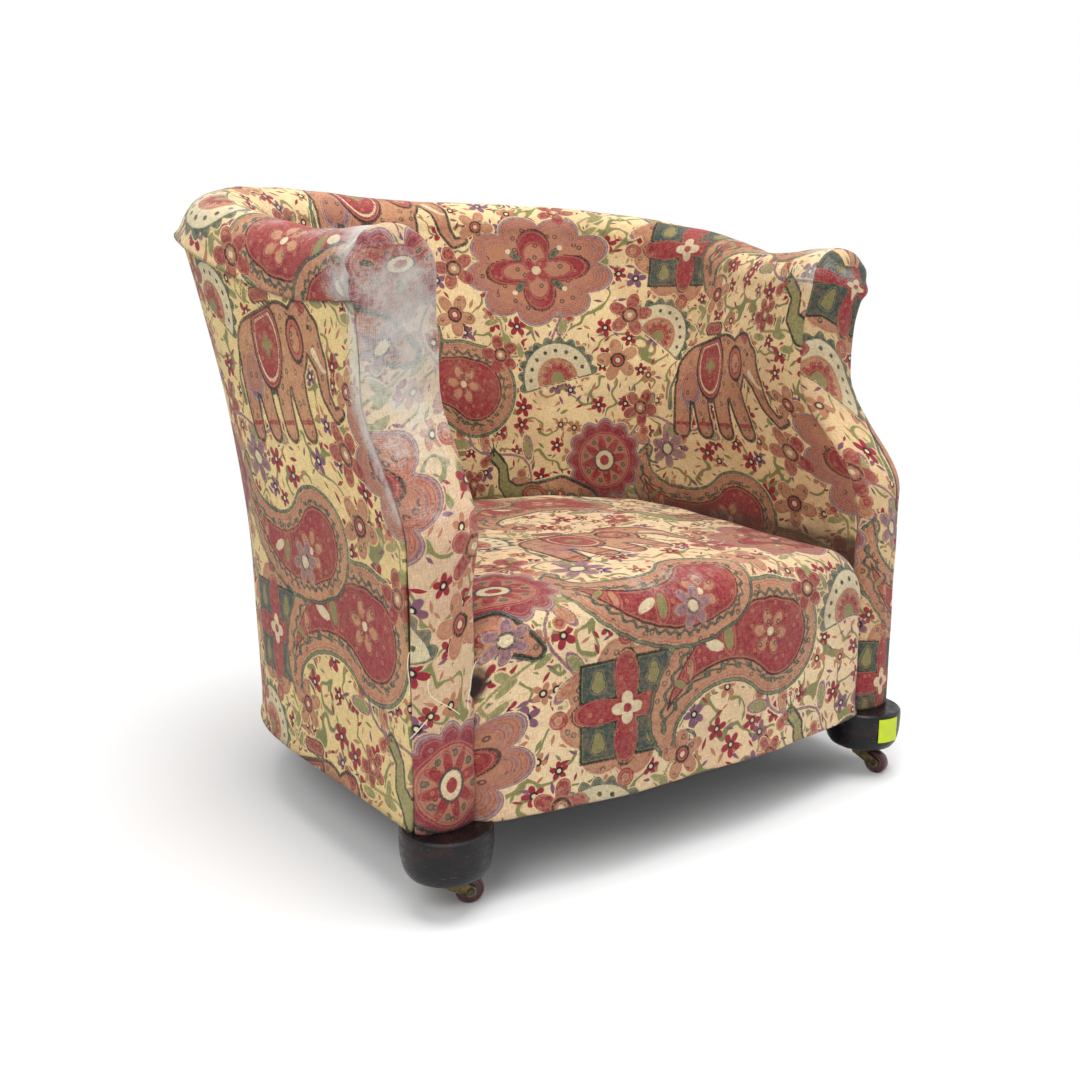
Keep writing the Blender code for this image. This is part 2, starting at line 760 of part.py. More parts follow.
def under_outline(inset):
    """Outline of the underside, this far inside the cloth."""
    points = outline_along_wall(lambda a: [(-inset, RAIL_BOTTOM_Z)], 1 - inset / HALF_LENGTH)
    last_x = points[-1][0]
    front = [(x, apron_y(x) + inset) for x in spread(last_x, -last_x, 11)]
    return points + front


def dust_cover(cotton, collection, cutters, feet, webbing):
    """Thin cloth under the rails. It and the webbing are notched round the feet."""
    high = WEB_BOTTOM_Z - CONTACT_GAP
    low = high - DUST_COVER_THICKNESS
    flat = prism("dust_cover", under_outline(DUST_COVER_INSET), low, high, cotton, collection)
    cover = as_mesh(flat, cotton, collection)
    for name, place in feet.items():
        radius = FOOT_RADIUS + FOOT_NOTCH_CLEARANCE
        notch = cylinder(f"notch_{name}", radius, low - CLOTH, RAIL_TOP_Z, place, cotton, cutters)
        cut(cover, notch)
        if name.startswith("back"):
            cut(webbing, notch)


def spring(name, place, steel, collection):
    """Coil spring, narrower at its waist."""
    curve = bpy.data.curves.new(name, "CURVE")
    curve.dimensions = "3D"
    curve.bevel_depth = SPRING_WIRE_RADIUS
    curve.bevel_resolution = 2
    curve.use_fill_caps = True
    count = int(SPRING_TURNS * SPRING_POINTS_PER_TURN) + 1
    low, high = SPRING_BOTTOM_Z + SPRING_WIRE_RADIUS, SPRING_TOP_Z - SPRING_WIRE_RADIUS
    line = curve.splines.new("POLY")
    line.points.add(count - 1)
    for k, point in enumerate(line.points):
        share = k / (count - 1)
        waist = math.sin(math.pi * share)
        radius = SPRING_END_RADIUS + (SPRING_WAIST_RADIUS - SPRING_END_RADIUS) * waist
        turn = 2 * math.pi * SPRING_TURNS * share
        point.co = (radius * math.cos(turn), radius * math.sin(turn), low + (high - low) * share, 1)
    made = bpy.data.objects.new(name, curve)
    collection.objects.link(made)
    curve.materials.append(steel)
    made.location = (*place, 0)


def springs(steel, collection):
    """Two springs in front, one in the middle and two behind."""
    step = WEB_PITCH
    places = ((-1, -1), (1, -1), (0, 0), (-1, 1), (1, 1))
    for k, (across, along) in enumerate(places, 1):
        spring(f"spring_{k}", (across * step, WEB_MIDDLE_Y + along * step), steel, collection)


# Wall upholstery


def roll_angles(a):
    """From the crease over the roll to its inner side."""
    return spread(-crease_angle(a) + LAYER_GAP / ROLL_RADIUS, math.pi, ROLL_STEPS + 1)


def roll_line(a, inset):
    return [roll_point(a, angle, inset) for angle in roll_angles(a)]


def inner_levels(a, low):
    """Heights down the inner face, without its top on the roll."""
    return face_levels(low, roll_centre(a)[1])[-2::-1]


def inside_line(a, inset):
    """From the crease over the roll and down the inner face, this far under the surface."""
    return roll_line(a, inset) + [(inner_u(a, z) + inset, z) for z in inner_levels(a, TUCK_Z)]


def wall_rows(line, end):
    return [wall_points(s, line) for s in stations_between(-end, end)]


def inside_cover(cloth, collection):
    shell("inside_cover", wall_rows(lambda a: inside_line(a, 0), COVER_FRONT_S), CLOTH, cloth, collection)


def inside_stuffing(fibre, collection):
    """Pad over the top rail and down the inner side of arms and back."""
    core = TOP_RAIL_RADIUS + HESSIAN + 2 * LAYER_GAP

    def section(a):
        frame_side = roll_line(a, ROLL_RADIUS - core)
        for z in inner_levels(a, TUCK_Z):
            frame_side.append((support_u(a, z) - HESSIAN - 3 * SEAM_GAP, z))
        return inside_line(a, CLOTH + LAYER_GAP) + frame_side[::-1]

    loft("inside_stuffing", wall_rows(section, FRONT_S), fibre, collection)


def inside_hessian(jute, collection):
    """Lining between the stay rail and the top rail, behind the pad."""

    def line(a):
        levels = [roll_centre(a)[1], *inner_levels(a, TUCK_Z)]
        return [(support_u(a, z) - LAYER_GAP - HESSIAN, z) for z in levels]

    shell("inside_hessian", wall_rows(line, FRONT_S - SEAM_GAP / HALF_LENGTH), HESSIAN, jute, collection)


def outside_cover(cloth, collection):
    def line(a):
        crease_z = roll_point(a, -crease_angle(a), 0)[1] - LAYER_GAP
        return [(outer_u(a, z), z) for z in face_levels(HEM_Z, crease_z)]

    shell("outside_cover", wall_rows(line, COVER_FRONT_S), CLOTH, cloth, collection)


def facing_row(side, outer, inner, crown):
    """One row across an arm front, from the outer edge round to the inner edge."""
    (outer_point_u, outer_z), (inner_point_u, inner_z) = outer(0), inner(0)
    nose = (outer_z - NOSE_SWELL_Z) / NOSE_SWELL_HEIGHT
    grow, reach = blend(FACING_ROUND, NOSE_ROUND, nose), blend(FACING_ROUND, NOSE_REACH, nose)
    turns = spread(0, math.pi / 2, NOSE_STEPS)
    outer_half = [(*outer(grow * (1 - math.cos(t))), reach * math.sin(t)) for t in turns]
    inner_half = [(*inner(grow * (1 - math.cos(t))), reach * math.sin(t)) for t in turns]
    last_outer, last_inner = outer_half[-1], inner_half[-1]
    middle = [(p + q) / 2 for p, q in zip(last_outer, last_inner)]
    middle[2] += crown
    row = [*outer_half, tuple(middle), *inner_half[::-1]]
    points = [wall_point(side, u, z, forward) for u, z, forward in row]
    return points if side < 0 else points[::-1]


def facing(name, side, cloth, collection):
    """Cloth over an arm front and over the end of its roll."""
    low_angle = -crease_angle(0)
    crease_z = roll_point(0, low_angle, 0)[1]
    outer_levels = face_levels(HEM_Z, crease_z)
    inner_heights = outer_levels[:-1] + [roll_centre(0)[1]]
    rows = []
    for outer_z, inner_z in zip(outer_levels, inner_heights):
        rows.append(
            facing_row(
                side,
                lambda d, z=outer_z: (outer_u(0, z) - d, z),
                lambda d, z=inner_z: (inner_u(0, z) + d, z),
                FACING_CROWN,
            )
        )
    angles, half = roll_angles(0), ROLL_STEPS // 2
    for k in range(1, half + 1):
        outer_angle, inner_angle = angles[k], angles[-1 - k]
        rows.append(
            facing_row(
                side,
                lambda d, angle=outer_angle: roll_point(0, angle, d),
                lambda d, angle=inner_angle: roll_point(0, angle, d),
                FACING_CROWN * (1 - (k / half) ** 2),
            )
        )
    shell(name, rows, CLOTH, cloth, collection)


# Feet and casters


def foot(name, place, wood, collection):
    """Turned foot with a spigot above and a bore for the caster's spindle below."""
    spigot_top = FOOT_TOP_Z + SPIGOT_HEIGHT
    belly_z = FOOT_BOTTOM_Z + FOOT_TOE_ROUND
    toe_x = FOOT_RADIUS - FOOT_TAPER - FOOT_TOE_ROUND
    profile = [(0, spigot_top), (SPIGOT_RADIUS, spigot_top), (SPIGOT_RADIUS, FOOT_TOP_Z)]
    for share in spread(0, 1, 3):
        profile.append((FOOT_RADIUS - FOOT_TAPER * share**2, FOOT_TOP_Z + (belly_z - FOOT_TOP_Z) * share))
    for turn in spread(0, math.pi / 2, 4)[1:]:
        profile.append((toe_x + FOOT_TOE_ROUND * math.cos(turn), belly_z - FOOT_TOE_ROUND * math.sin(turn)))
    bore = SPINDLE_RADIUS + RUNNING_CLEARANCE
    bore_top = CROWN_TOP_Z + SPINDLE_HEIGHT + RUNNING_CLEARANCE
    profile += [(bore, FOOT_BOTTOM_Z), (bore, bore_top), (0, bore_top)]
    made = turned(name, profile, wood, collection)
    made.location = (*place, 0)


def plate_profile():
    bore = SPINDLE_RADIUS + RUNNING_CLEARANCE
    top = PLATE_BOTTOM_Z + PLATE_THICKNESS
    return [(bore, top), (PLATE_RADIUS, top), (PLATE_RADIUS, PLATE_BOTTOM_Z), (bore, PLATE_BOTTOM_Z)]


def wheel_profile():
    bore = AXLE_RADIUS + RUNNING_CLEARANCE
    half, edge = WHEEL_WIDTH / 2, WHEEL_EDGE_ROUND
    return [
        (bore, half),
        (WHEEL_RADIUS - edge, half),
        (WHEEL_RADIUS, half - edge),
        (WHEEL_RADIUS, edge - half),
        (WHEEL_RADIUS - edge, -half),
        (bore, -half),
    ]


def axle_profile():
    seat = WHEEL_WIDTH / 2 + CHEEK_GAP + CHEEK_THICKNESS + CONTACT_GAP
    end = seat + AXLE_HEAD_THICKNESS
    return [
        (0, end),
        (AXLE_HEAD_RADIUS, end),
        (AXLE_HEAD_RADIUS, seat),
        (AXLE_RADIUS, seat),
        (AXLE_RADIUS, -seat),
        (AXLE_HEAD_RADIUS, -seat),
        (AXLE_HEAD_RADIUS, -end),
        (0, -end),
    ]


def fork_mesh(brass, cutters):
    """Crown with its spindle, two cheeks and a hole through both for the axle."""
    spindle_top, crown_low = CROWN_TOP_Z + SPINDLE_HEIGHT, CROWN_TOP_Z - CROWN_HEIGHT
    profile = [
        (0, spindle_top),
        (SPINDLE_RADIUS, spindle_top),
        (SPINDLE_RADIUS, CROWN_TOP_Z),
        (CROWN_RADIUS, CROWN_TOP_Z),
        (CROWN_RADIUS, crown_low),
        (0, crown_low),
    ]
    crown = turned("fork_crown", profile, brass, cutters, steps=FITTING_STEPS)
    cheek_x = CROWN_RADIUS * 0.8
    cheek_top = CROWN_TOP_Z - CHEEK_GAP
    arc = [
        (CASTER_TRAIL + BOSS_RADIUS * math.cos(turn), WHEEL_APOTHEM + BOSS_RADIUS * math.sin(turn))
        for turn in spread(math.radians(65), math.radians(-130), 7)
    ]
    outline = [(-cheek_x, cheek_top), (cheek_x, cheek_top), *arc, (-cheek_x, crown_low + CHEEK_GAP)]
    middle = WHEEL_WIDTH / 2 + CHEEK_GAP + CHEEK_THICKNESS / 2
    for side in (-1, 1):
        half = CHEEK_THICKNESS / 2
        flat = prism(f"fork_cheek_{side}", outline, -half, half, brass, cutters)
        flat.rotation_euler.x = math.pi / 2
        flat.location = (0, side * middle, 0)
        cut(crown, as_mesh(flat, brass, cutters), "UNION")
    reach = middle + CHEEK_THICKNESS
    radius = AXLE_RADIUS + CONTACT_GAP
    hole = cylinder("axle_hole", radius, -reach, reach, (0, 0), brass, cutters, PIN_STEPS)
    hole.rotation_euler.x = math.pi / 2
    hole.location = (CASTER_TRAIL, 0, WHEEL_APOTHEM)
    cut(crown, hole)
    return as_mesh(crown, brass, cutters)


def caster(name, place, turn, fork_source, surfaces, collection):
    """Swivelling caster. Its empty stands on the swivel axis, and the wheel trails along its X."""
    axis = bpy.data.objects.new(f"swivel_axis_{name}", None)
    collection.objects.link(axis)
    axis.location = (*place, 0)
    axis.rotation_euler.z = turn
    brass, steel = surfaces["brass"], surfaces["steel"]
    plate = turned(f"caster_plate_{name}", plate_profile(), brass, collection, True, FITTING_STEPS)
    plate.location = (*place, 0)
    fork = add_object(f"caster_fork_{name}", fork_source.data, brass, collection)
    axle = turned(f"caster_axle_{name}", axle_profile(), steel, collection, steps=PIN_STEPS)
    wheel = turned(f"caster_wheel_{name}", wheel_profile(), surfaces["wheel"], collection, True)
    for piece in (axle, wheel):
        piece.location = (CASTER_TRAIL, 0, WHEEL_APOTHEM)
        piece.rotation_euler = (math.pi / 2, math.pi / TURNED_STEPS, 0)
    for piece in (fork, axle, wheel):
        piece.parent = axis


def sticker(place, paper, collection):
    """Square of paper round the front of the foot."""
    radius = FOOT_RADIUS + CONTACT_GAP + STICKER_THICKNESS
    half_turn = STICKER_SIDE / 2 / radius
    low, high = STICKER_MIDDLE_Z - STICKER_SIDE / 2, STICKER_MIDDLE_Z + STICKER_SIDE / 2
    rows = []
    for turn in spread(STICKER_ANGLE + half_turn, STICKER_ANGLE - half_turn, 6):
        x, y = place[0] + radius * math.cos(turn), place[1] + radius * math.sin(turn)
        rows.append([(x, y, low), (x, y, high)])
    shell("price_sticker", rows, STICKER_THICKNESS, paper, collection)


def main():
    for old in list(bpy.data.objects):
        bpy.data.objects.remove(old)
    armchair = bpy.data.collections.new("armchair")
    cutters = bpy.data.collections.new("cutters")
    for collection in (armchair, cutters):
        bpy.context.scene.collection.children.link(collection)
    wood = material("beech", (0.45, 0.30, 0.17), 0.7)
    stained = material("stained_wood", (0.022, 0.014, 0.016), 0.35)
    cloth = material("printed_cloth", (0.55, 0.40, 0.24), 0.9)
    jute = material("jute", (0.36, 0.25, 0.13), 0.95)
    fibre = material("fibre", (0.30, 0.22, 0.14), 1.0)
    cotton = material("black_cotton", (0.02, 0.02, 0.02), 0.95)
    steel = material("dark_steel", (0.12, 0.11, 0.10), 0.45, 1.0)
    surfaces = {
        "brass": material("dull_brass", (0.30, 0.24, 0.12), 0.5, 1.0),
        "steel": steel,
        "wheel": material("brown_wheel", (0.09, 0.035, 0.035), 0.35),
    }
    paper = material("sticker_paper", (0.55, 0.72, 0.05), 0.6)

    feet = {name: foot_place(name, side) for name, side, _ in CORNERS}
    side_end, back_end = BACK_POST_FRONT_S + JOINT_SHARE, BACK_POST_REAR_S - JOINT_SHARE
    runs = (("back", -back_end, back_end), ("left", -FRONT_S, -side_end), ("right", FRONT_S, side_end))
    stay_top_z = STAY_RAIL_BOTTOM_Z + STAY_RAIL_HEIGHT
    for word, first, last in runs:
        wall_board(f"seat_rail_{word}", first, last, RAIL_BOTTOM_Z, RAIL_TOP_Z, wood, armchair)
        wall_board(f"stay_rail_{word}", first, last, STAY_RAIL_BOTTOM_Z, stay_top_z, wood, armchair)
    seat_rail_front(wood, armchair)
    top_rail(wood, armchair)
    for word, side in (("left", -1), ("right", 1)):
        front_foot, back_foot = feet[f"front_{word}"], feet[f"back_{word}"]
        arm_post(f"arm_post_{word}", side, front_foot, wood, armchair, cutters)
        back_post(f"back_post_{word}", side, wood, armchair)
        front_corner_block(f"corner_block_front_{word}", side, wood, armchair)
        back_corner_block(f"corner_block_back_{word}", side, back_foot, wood, armchair, cutters)
        facing(f"facing_{word}", side, cloth, armchair)
    webbing = seat_webbing(jute, armchair, cutters)
    springs(steel, armchair)
    seat_hessian(jute, armchair)
    seat_stuffing(fibre, armchair)
    apron_wadding(fibre, armchair)
    seat_cover(cloth, armchair)
    inside_hessian(jute, armchair)
    inside_stuffing(fibre, armchair)
    inside_cover(cloth, armchair)
    outside_cover(cloth, armchair)
    dust_cover(cotton, armchair, cutters, feet, webbing)
    fork_source = fork_mesh(surfaces["brass"], cutters)
    fork_source.hide_render = True
    for name, _, turn in CORNERS:
        foot(f"foot_{name}", feet[name], stained, armchair)
        caster(name, feet[name], turn, fork_source, surfaces, armchair)
    sticker(feet["front_right"], paper, armchair)


main()
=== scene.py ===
"""An old tub armchair in a worn printed cloth, on dark turned feet with small casters."""

import json
import math

import bmesh
import bpy
import numpy as np
from mathutils import Matrix, Vector

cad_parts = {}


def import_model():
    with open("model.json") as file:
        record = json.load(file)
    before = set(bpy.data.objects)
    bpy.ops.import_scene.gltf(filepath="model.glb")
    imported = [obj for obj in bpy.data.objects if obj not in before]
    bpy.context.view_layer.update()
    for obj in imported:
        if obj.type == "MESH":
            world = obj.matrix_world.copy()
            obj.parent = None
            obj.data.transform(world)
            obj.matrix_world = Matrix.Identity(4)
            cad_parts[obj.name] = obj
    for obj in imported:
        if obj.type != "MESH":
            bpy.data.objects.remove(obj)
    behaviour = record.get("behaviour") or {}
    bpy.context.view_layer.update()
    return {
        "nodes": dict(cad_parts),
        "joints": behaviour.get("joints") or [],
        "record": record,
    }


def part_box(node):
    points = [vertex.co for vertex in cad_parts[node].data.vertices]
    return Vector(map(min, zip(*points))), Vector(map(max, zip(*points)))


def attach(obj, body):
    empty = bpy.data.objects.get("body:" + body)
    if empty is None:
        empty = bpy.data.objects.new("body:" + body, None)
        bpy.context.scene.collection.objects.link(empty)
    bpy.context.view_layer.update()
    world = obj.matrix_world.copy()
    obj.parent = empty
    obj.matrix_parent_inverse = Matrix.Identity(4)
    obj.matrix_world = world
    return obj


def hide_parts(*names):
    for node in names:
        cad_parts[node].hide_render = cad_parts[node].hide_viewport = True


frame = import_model()

# Sizes of the wall, as in the solid model
FRONT_HALF_WIDTH = 0.343
SIDE_HALF_WIDTH = 0.357
SIDE_LENGTH = 0.306
CORNER_DEPTH = 0.290
CORNER_POWER = 2.2
APRON_BOW = 0.033
HEM_Z = 0.086
ARM_TOP_Z = 0.657
BACK_TOP_Z = 0.745
SEAT_LINE_Z = 0.316
ROLL_RADIUS = 0.045
WALL_THICKNESS_ARM = 0.068
WALL_THICKNESS_BACK = 0.090
INNER_BULGE = 0.012
FLARE_POWER = 2.6
ROLL_SHIFT_FRONT = -0.033
ROLL_SHIFT_BACK = 0.030
ROLL_SHIFT_END_SHARE = 0.66
CREST_START_SHARE = 0.12
CREST_CLIMB_SHARE = 0.66
CREASE_ANGLE_FRONT = math.radians(37)
CREASE_ANGLE_BACK = math.radians(2)
CREASE_END_SHARE = 0.55
SETBACK = 0.087
SETBACK_START_Z = 0.360
SETBACK_CLIMB = 0.145
SETBACK_FADE_SHARE = 0.45
NOSE_SWELL = 0.008
NOSE_SWELL_Z = 0.560
NOSE_SWELL_HEIGHT = 0.060
FACING_ROUND = 0.014
FACING_CROWN = 0.004
NOSE_ROUND = 0.030
NOSE_REACH = 0.024
APRON_Y = -0.359
ARM_START_Y = -0.312
CORNER_Y = ARM_START_Y + SIDE_LENGTH
PLAN_SAMPLES = 400

# Only here: the inside cloth ends a little higher than the solid one
TUCK_Z = 0.262
SLOPE_STEP = 0.02
REAR_START_SHARE = 0.94

# Shares of the grids that are bent into the cloth
INSIDE_ROLL_SHARE = 0.27
FACING_FLAT_SHARE = 0.84
FACING_RIM_SHARE = 0.20
SEAT_TOP_SHARE = 0.56
SEAT_ROUND_SHARE = 0.12
SEAT_OVERLAP = 0.05

# The seat cloth
SEAT_HALF_WIDTH = 0.275
APRON_HALF_WIDTH = 0.272
SEAT_EDGE_FRONT_Z = 0.288
SEAT_CLIMB = 0.022
SEAT_CROWN = 0.022
SEAT_SAG = 0.010
SEAT_FRONT_ROUND = 0.045
SEAT_SIDE_ROUND = 0.032
SEAT_BACK_ROUND = 0.024
SEAT_CORNER_ROUND = 0.020
SEAT_FRONT_BULGE = 0.009
SEAT_TUCK = 0.035

# The cloth of the wall
SEAM_DROP = 0.0012
GATHERS = 9
GATHER_HEIGHT = 0.0030

# The torn joint between the seat and the left arm front, in the grid of the seat
TEAR_ACROSS = -0.985
TEAR_ALONG = 0.690
PINCH_DEPTH = 0.012


def ease(t):
    t = np.clip(t, 0, 1)
    return t * t * (3 - 2 * t)


def blend(first, last, t):
    return first + (last - first) * ease(t)


def bump_at(x, centre, width):
    """A soft hump of height 1."""
    return np.exp(-(((x - centre) / width) ** 2))


def ripple(u, v, size, seed):
    """Slow unevenness between about -1 and 1, with waves of this size."""
    total = 0
    for k in range(6):
        angle = seed * 1.7 + k * 2.399
        wave = 2 * math.pi / (size * (0.7 + 0.22 * k))
        total = total + np.sin((u * math.cos(angle) + v * math.sin(angle)) * wave + seed * 3.1 + k * 1.3)
    return total / 3.2


# The wall: s runs round it from the left arm front (-1) over the middle of the back (0) to the
# right arm front (1), u outwards and z upwards. a is the share of the way from an arm front to the back.


def along_wall(p):
    """s and a for p from 0 to 1."""
    s = 2 * p - 1
    return s, 1 - np.abs(s)


def base_line():
    t = np.linspace(0, 1, PLAN_SAMPLES)
    side_x = FRONT_HALF_WIDTH + (SIDE_HALF_WIDTH - FRONT_HALF_WIDTH) * ease(t)
    turn = np.linspace(0, math.pi / 2, PLAN_SAMPLES)[1:]
    corner_x = SIDE_HALF_WIDTH * np.clip(np.cos(turn), 0, 1) ** (2 / CORNER_POWER)
    corner_y = CORNER_Y + CORNER_DEPTH * np.sin(turn) ** (2 / CORNER_POWER)
    return np.append(side_x, corner_x), np.append(ARM_START_Y + SIDE_LENGTH * t, corner_y)


BASE_X, BASE_Y = base_line()
BASE_LENGTHS = np.append(0, np.cumsum(np.hypot(np.diff(BASE_X), np.diff(BASE_Y))))
HALF_LENGTH = BASE_LENGTHS[-1]


def base_point(a):
    length = np.clip(a, 0, 1) * HALF_LENGTH
    return np.interp(length, BASE_LENGTHS, BASE_X), np.interp(length, BASE_LENGTHS, BASE_Y)


def setback(z):
    """How far the arm fronts stand back at this height."""
    swell = NOSE_SWELL * ease((z - NOSE_SWELL_Z) / NOSE_SWELL_HEIGHT)
    return SETBACK * ease((z - SETBACK_START_Z) / SETBACK_CLIMB) - swell


def wall_place(s, u, z, forward=0.0):
    """World place of a point of the wall."""
    a = 1 - np.abs(s)
    x0, y0 = base_point(a)
    x1, y1 = base_point(a + SLOPE_STEP)
    x2, y2 = base_point(a - SLOPE_STEP)
    dx, dy = x1 - x2, y1 - y2
    length = np.hypot(dx, dy)
    dx, dy = dx / length, dy / length
    back = ease((a - REAR_START_SHARE) / (1 - REAR_START_SHARE))
    dx, dy = dx * (1 - back) - back, dy * (1 - back)
    x = x0 + dy * u - dx * forward
    y = y0 - dx * u - dy * forward
    fade = np.clip(1 - a / SETBACK_FADE_SHARE, 0, 1)
    return np.stack([np.where(s >= 0, x, -x), y + setback(z) * fade, z + 0 * x], axis=-1)


def roll_centre(a):
    top_z = blend(ARM_TOP_Z, BACK_TOP_Z, (a - CREST_START_SHARE) / CREST_CLIMB_SHARE)
    return blend(ROLL_SHIFT_FRONT, ROLL_SHIFT_BACK, a / ROLL_SHIFT_END_SHARE), top_z - ROLL_RADIUS


def crease_angle(a):
    """How far below the middle of the roll the outside seam lies, as an angle."""
    return blend(CREASE_ANGLE_FRONT, CREASE_ANGLE_BACK, a / CREASE_END_SHARE)


def roll_point(a, angle, inset=0.0):
    u, z = roll_centre(a)
    radius = ROLL_RADIUS - inset
    return u + radius * np.cos(angle), z + radius * np.sin(angle)


def outer_u(a, z):
    crease_u, crease_z = roll_point(a, -crease_angle(a))
    return crease_u * np.clip((z - HEM_Z) / (crease_z - HEM_Z), 0, 1) ** FLARE_POWER


def inner_u(a, z):
    centre_u, centre_z = roll_centre(a)
    foot_u = -blend(WALL_THICKNESS_ARM, WALL_THICKNESS_BACK, (a - 0.3) / 0.7)
    rise = np.clip((z - SEAT_LINE_Z) / (centre_z - SEAT_LINE_Z), 0, 1)
    lean = (centre_u - ROLL_RADIUS - foot_u) * (rise + ease(rise)) / 2
    return foot_u + lean - INNER_BULGE * np.sin(math.pi * rise)


# The printed pattern. Each ink is kept on the mesh as the distance to its nearest edge, negative inside.

INKS = ("mauve", "tan", "olive", "crimson", "green", "cream", "dark")
FAR = 0.02


class Cloth:
    """The inks at every vertex, in cloth coordinates in metres."""

    def __init__(self, u, v):
        self.u, self.v = u, v
        self.inks = {ink: np.full(u.shape, FAR) for ink in INKS}

    def motif(self, draw, place, turn=0.0, size=1.0, flip=1, reach=0.12):
        near = np.flatnonzero(np.hypot(self.u - place[0], self.v - place[1]) < reach * size)
        if not len(near):
            return
        du, dv = self.u[near] - place[0], self.v[near] - place[1]
        x = (du * math.cos(turn) + dv * math.sin(turn)) / size * flip
        y = (dv * math.cos(turn) - du * math.sin(turn)) / size

        def paint(ink, distance):
            distance = distance * size
            rank = INKS.index(ink)
            self.inks[ink][near] = np.minimum(self.inks[ink][near], distance)
            for above in INKS[rank + 1 :]:
                self.inks[above][near] = np.maximum(self.inks[above][near], -distance)

        draw(x, y, paint)


def disc(x, y, cx, cy, radius):
    return np.hypot(x - cx, y - cy) - radius


def oval(x, y, cx, cy, rx, ry, turn=0.0):
    dx, dy = x - cx, y - cy
    px = dx * math.cos(turn) + dy * math.sin(turn)
    py = dy * math.cos(turn) - dx * math.sin(turn)
    return (np.hypot(px / rx, py / ry) - 1) * min(rx, ry)


def limb(x, y, *knots):
    """Round-ended shape through knots of (x, y, radius)."""
    best = np.full(x.shape, 1.0)
    for (ax, ay, ar), (bx, by, br) in zip(knots, knots[1:]):
        dx, dy = bx - ax, by - ay
        t = np.clip(((x - ax) * dx + (y - ay) * dy) / (dx * dx + dy * dy), 0, 1)
        best = np.minimum(best, np.hypot(x - ax - dx * t, y - ay - dy * t) - ar - (br - ar) * t)
    return best


def lobes(x, y, count, inner, outer, turn=0.0, power=1.0):
    """Round shape with this many lobes."""
    angle = np.arctan2(y, x) - turn
    swell = np.abs(np.cos(count * angle / 2)) ** power
    return np.hypot(x, y) - inner - (outer - inner) * swell


def dots(x, y, count, radius, size, start=0.0, arc=2 * math.pi):
    """Discs of this size, spread over a circle or an arc."""
    turns = [start + arc * k / count for k in range(count)]
    return np.minimum.reduce([disc(x, y, radius * math.cos(t), radius * math.sin(t), size) for t in turns])


def line(distance, width):
    """A line along the edge of a shape."""
    return np.abs(distance) - width / 2


def flower(petals, petal_ink, ring_ink):
    def draw(x, y, paint):
        paint(petal_ink, lobes(x, y, petals, 0.007, 0.024, 0.3, 0.8))
        paint(ring_ink, disc(x, y, 0, 0, 0.0075))
        paint("dark", line(disc(x, y, 0, 0, 0.0072), 0.0024))
        paint("cream", disc(x, y, 0, 0, 0.0028))

    return draw


def rosette(x, y, paint):
    paint("mauve", lobes(x, y, 12, 0.043, 0.050))
    paint("crimson", lobes(x, y, 12, 0.038, 0.045))
    paint("tan", disc(x, y, 0, 0, 0.031))
    paint("crimson", lobes(x, y, 8, 0.011, 0.029, 0.2, 1.2))
    paint("cream", disc(x, y, 0, 0, 0.0125))
    paint("green", line(disc(x, y, 0, 0, 0.0125), 0.0026))
    paint("crimson", disc(x, y, 0, 0, 0.006))
    paint("green", dots(x, y, 8, 0.0245, 0.003, 0.2 + math.pi / 8))


def cloud(x, y, paint):
    """Scalloped field with a four-lobed crimson figure."""
    field = lobes(x, y * 1.25, 9, 0.060, 0.078, 0.4, 0.7)
    paint("mauve", field - 0.004)
    paint("tan", field + 0.001)
    paint("mauve", line(field + 0.010, 0.0022))
    figure = lobes(x * 0.85, y, 4, 0.018, 0.046, 0.0, 1.4)
    paint("dark", line(figure - 0.001, 0.003))
    paint("crimson", figure)
    paint("crimson", oval(x, y, 0, 0, 0.050, 0.010))
    paint("tan", lobes(x * 0.85, y, 4, 0.010, 0.031, 0.0, 1.5))
    paint("crimson", lobes(x, y, 4, 0.006, 0.017, math.pi / 4))
    paint("cream", disc(x, y, 0, 0, 0.005))
    for k in range(4):
        angle = math.pi / 4 + k * math.pi / 2
        cx, cy = 0.029 * math.cos(angle), 0.025 * math.sin(angle)
        paint("green", oval(x, y, cx, cy, 0.0085, 0.004, angle))
        paint("cream", disc(x, y, 1.35 * cx, 1.35 * cy, 0.003))


def blocks(x, y, paint):
    """Crimson figure between four dark green blocks."""
    paint("tan", lobes(x, y, 8, 0.050, 0.060, 0.2))
    for k in range(4):
        angle = math.pi / 4 + k * math.pi / 2
        cx, cy = 0.036 * math.cos(angle), 0.036 * math.sin(angle)
        block = np.maximum(np.abs(x - cx), np.abs(y - cy)) - 0.016
        paint("green", block)
        paint("olive", limb(x, y, (cx, cy - 0.003, 0.006), (cx, cy + 0.006, 0.003)))
        paint("dark", line(block, 0.0024))
    paint("crimson", lobes(x, y, 4, 0.013, 0.047, 0.0, 2.2))
    paint("dark", line(lobes(x, y, 4, 0.015, 0.049, 0.0, 2.2), 0.002))
    paint("cream", lobes(x, y, 4, 0.006, 0.014))
    paint("crimson", disc(x, y, 0, 0, 0.004))
    paint("crimson", dots(x, y, 4, 0.060, 0.008))
    paint("tan", dots(x, y, 4, 0.060, 0.0035))


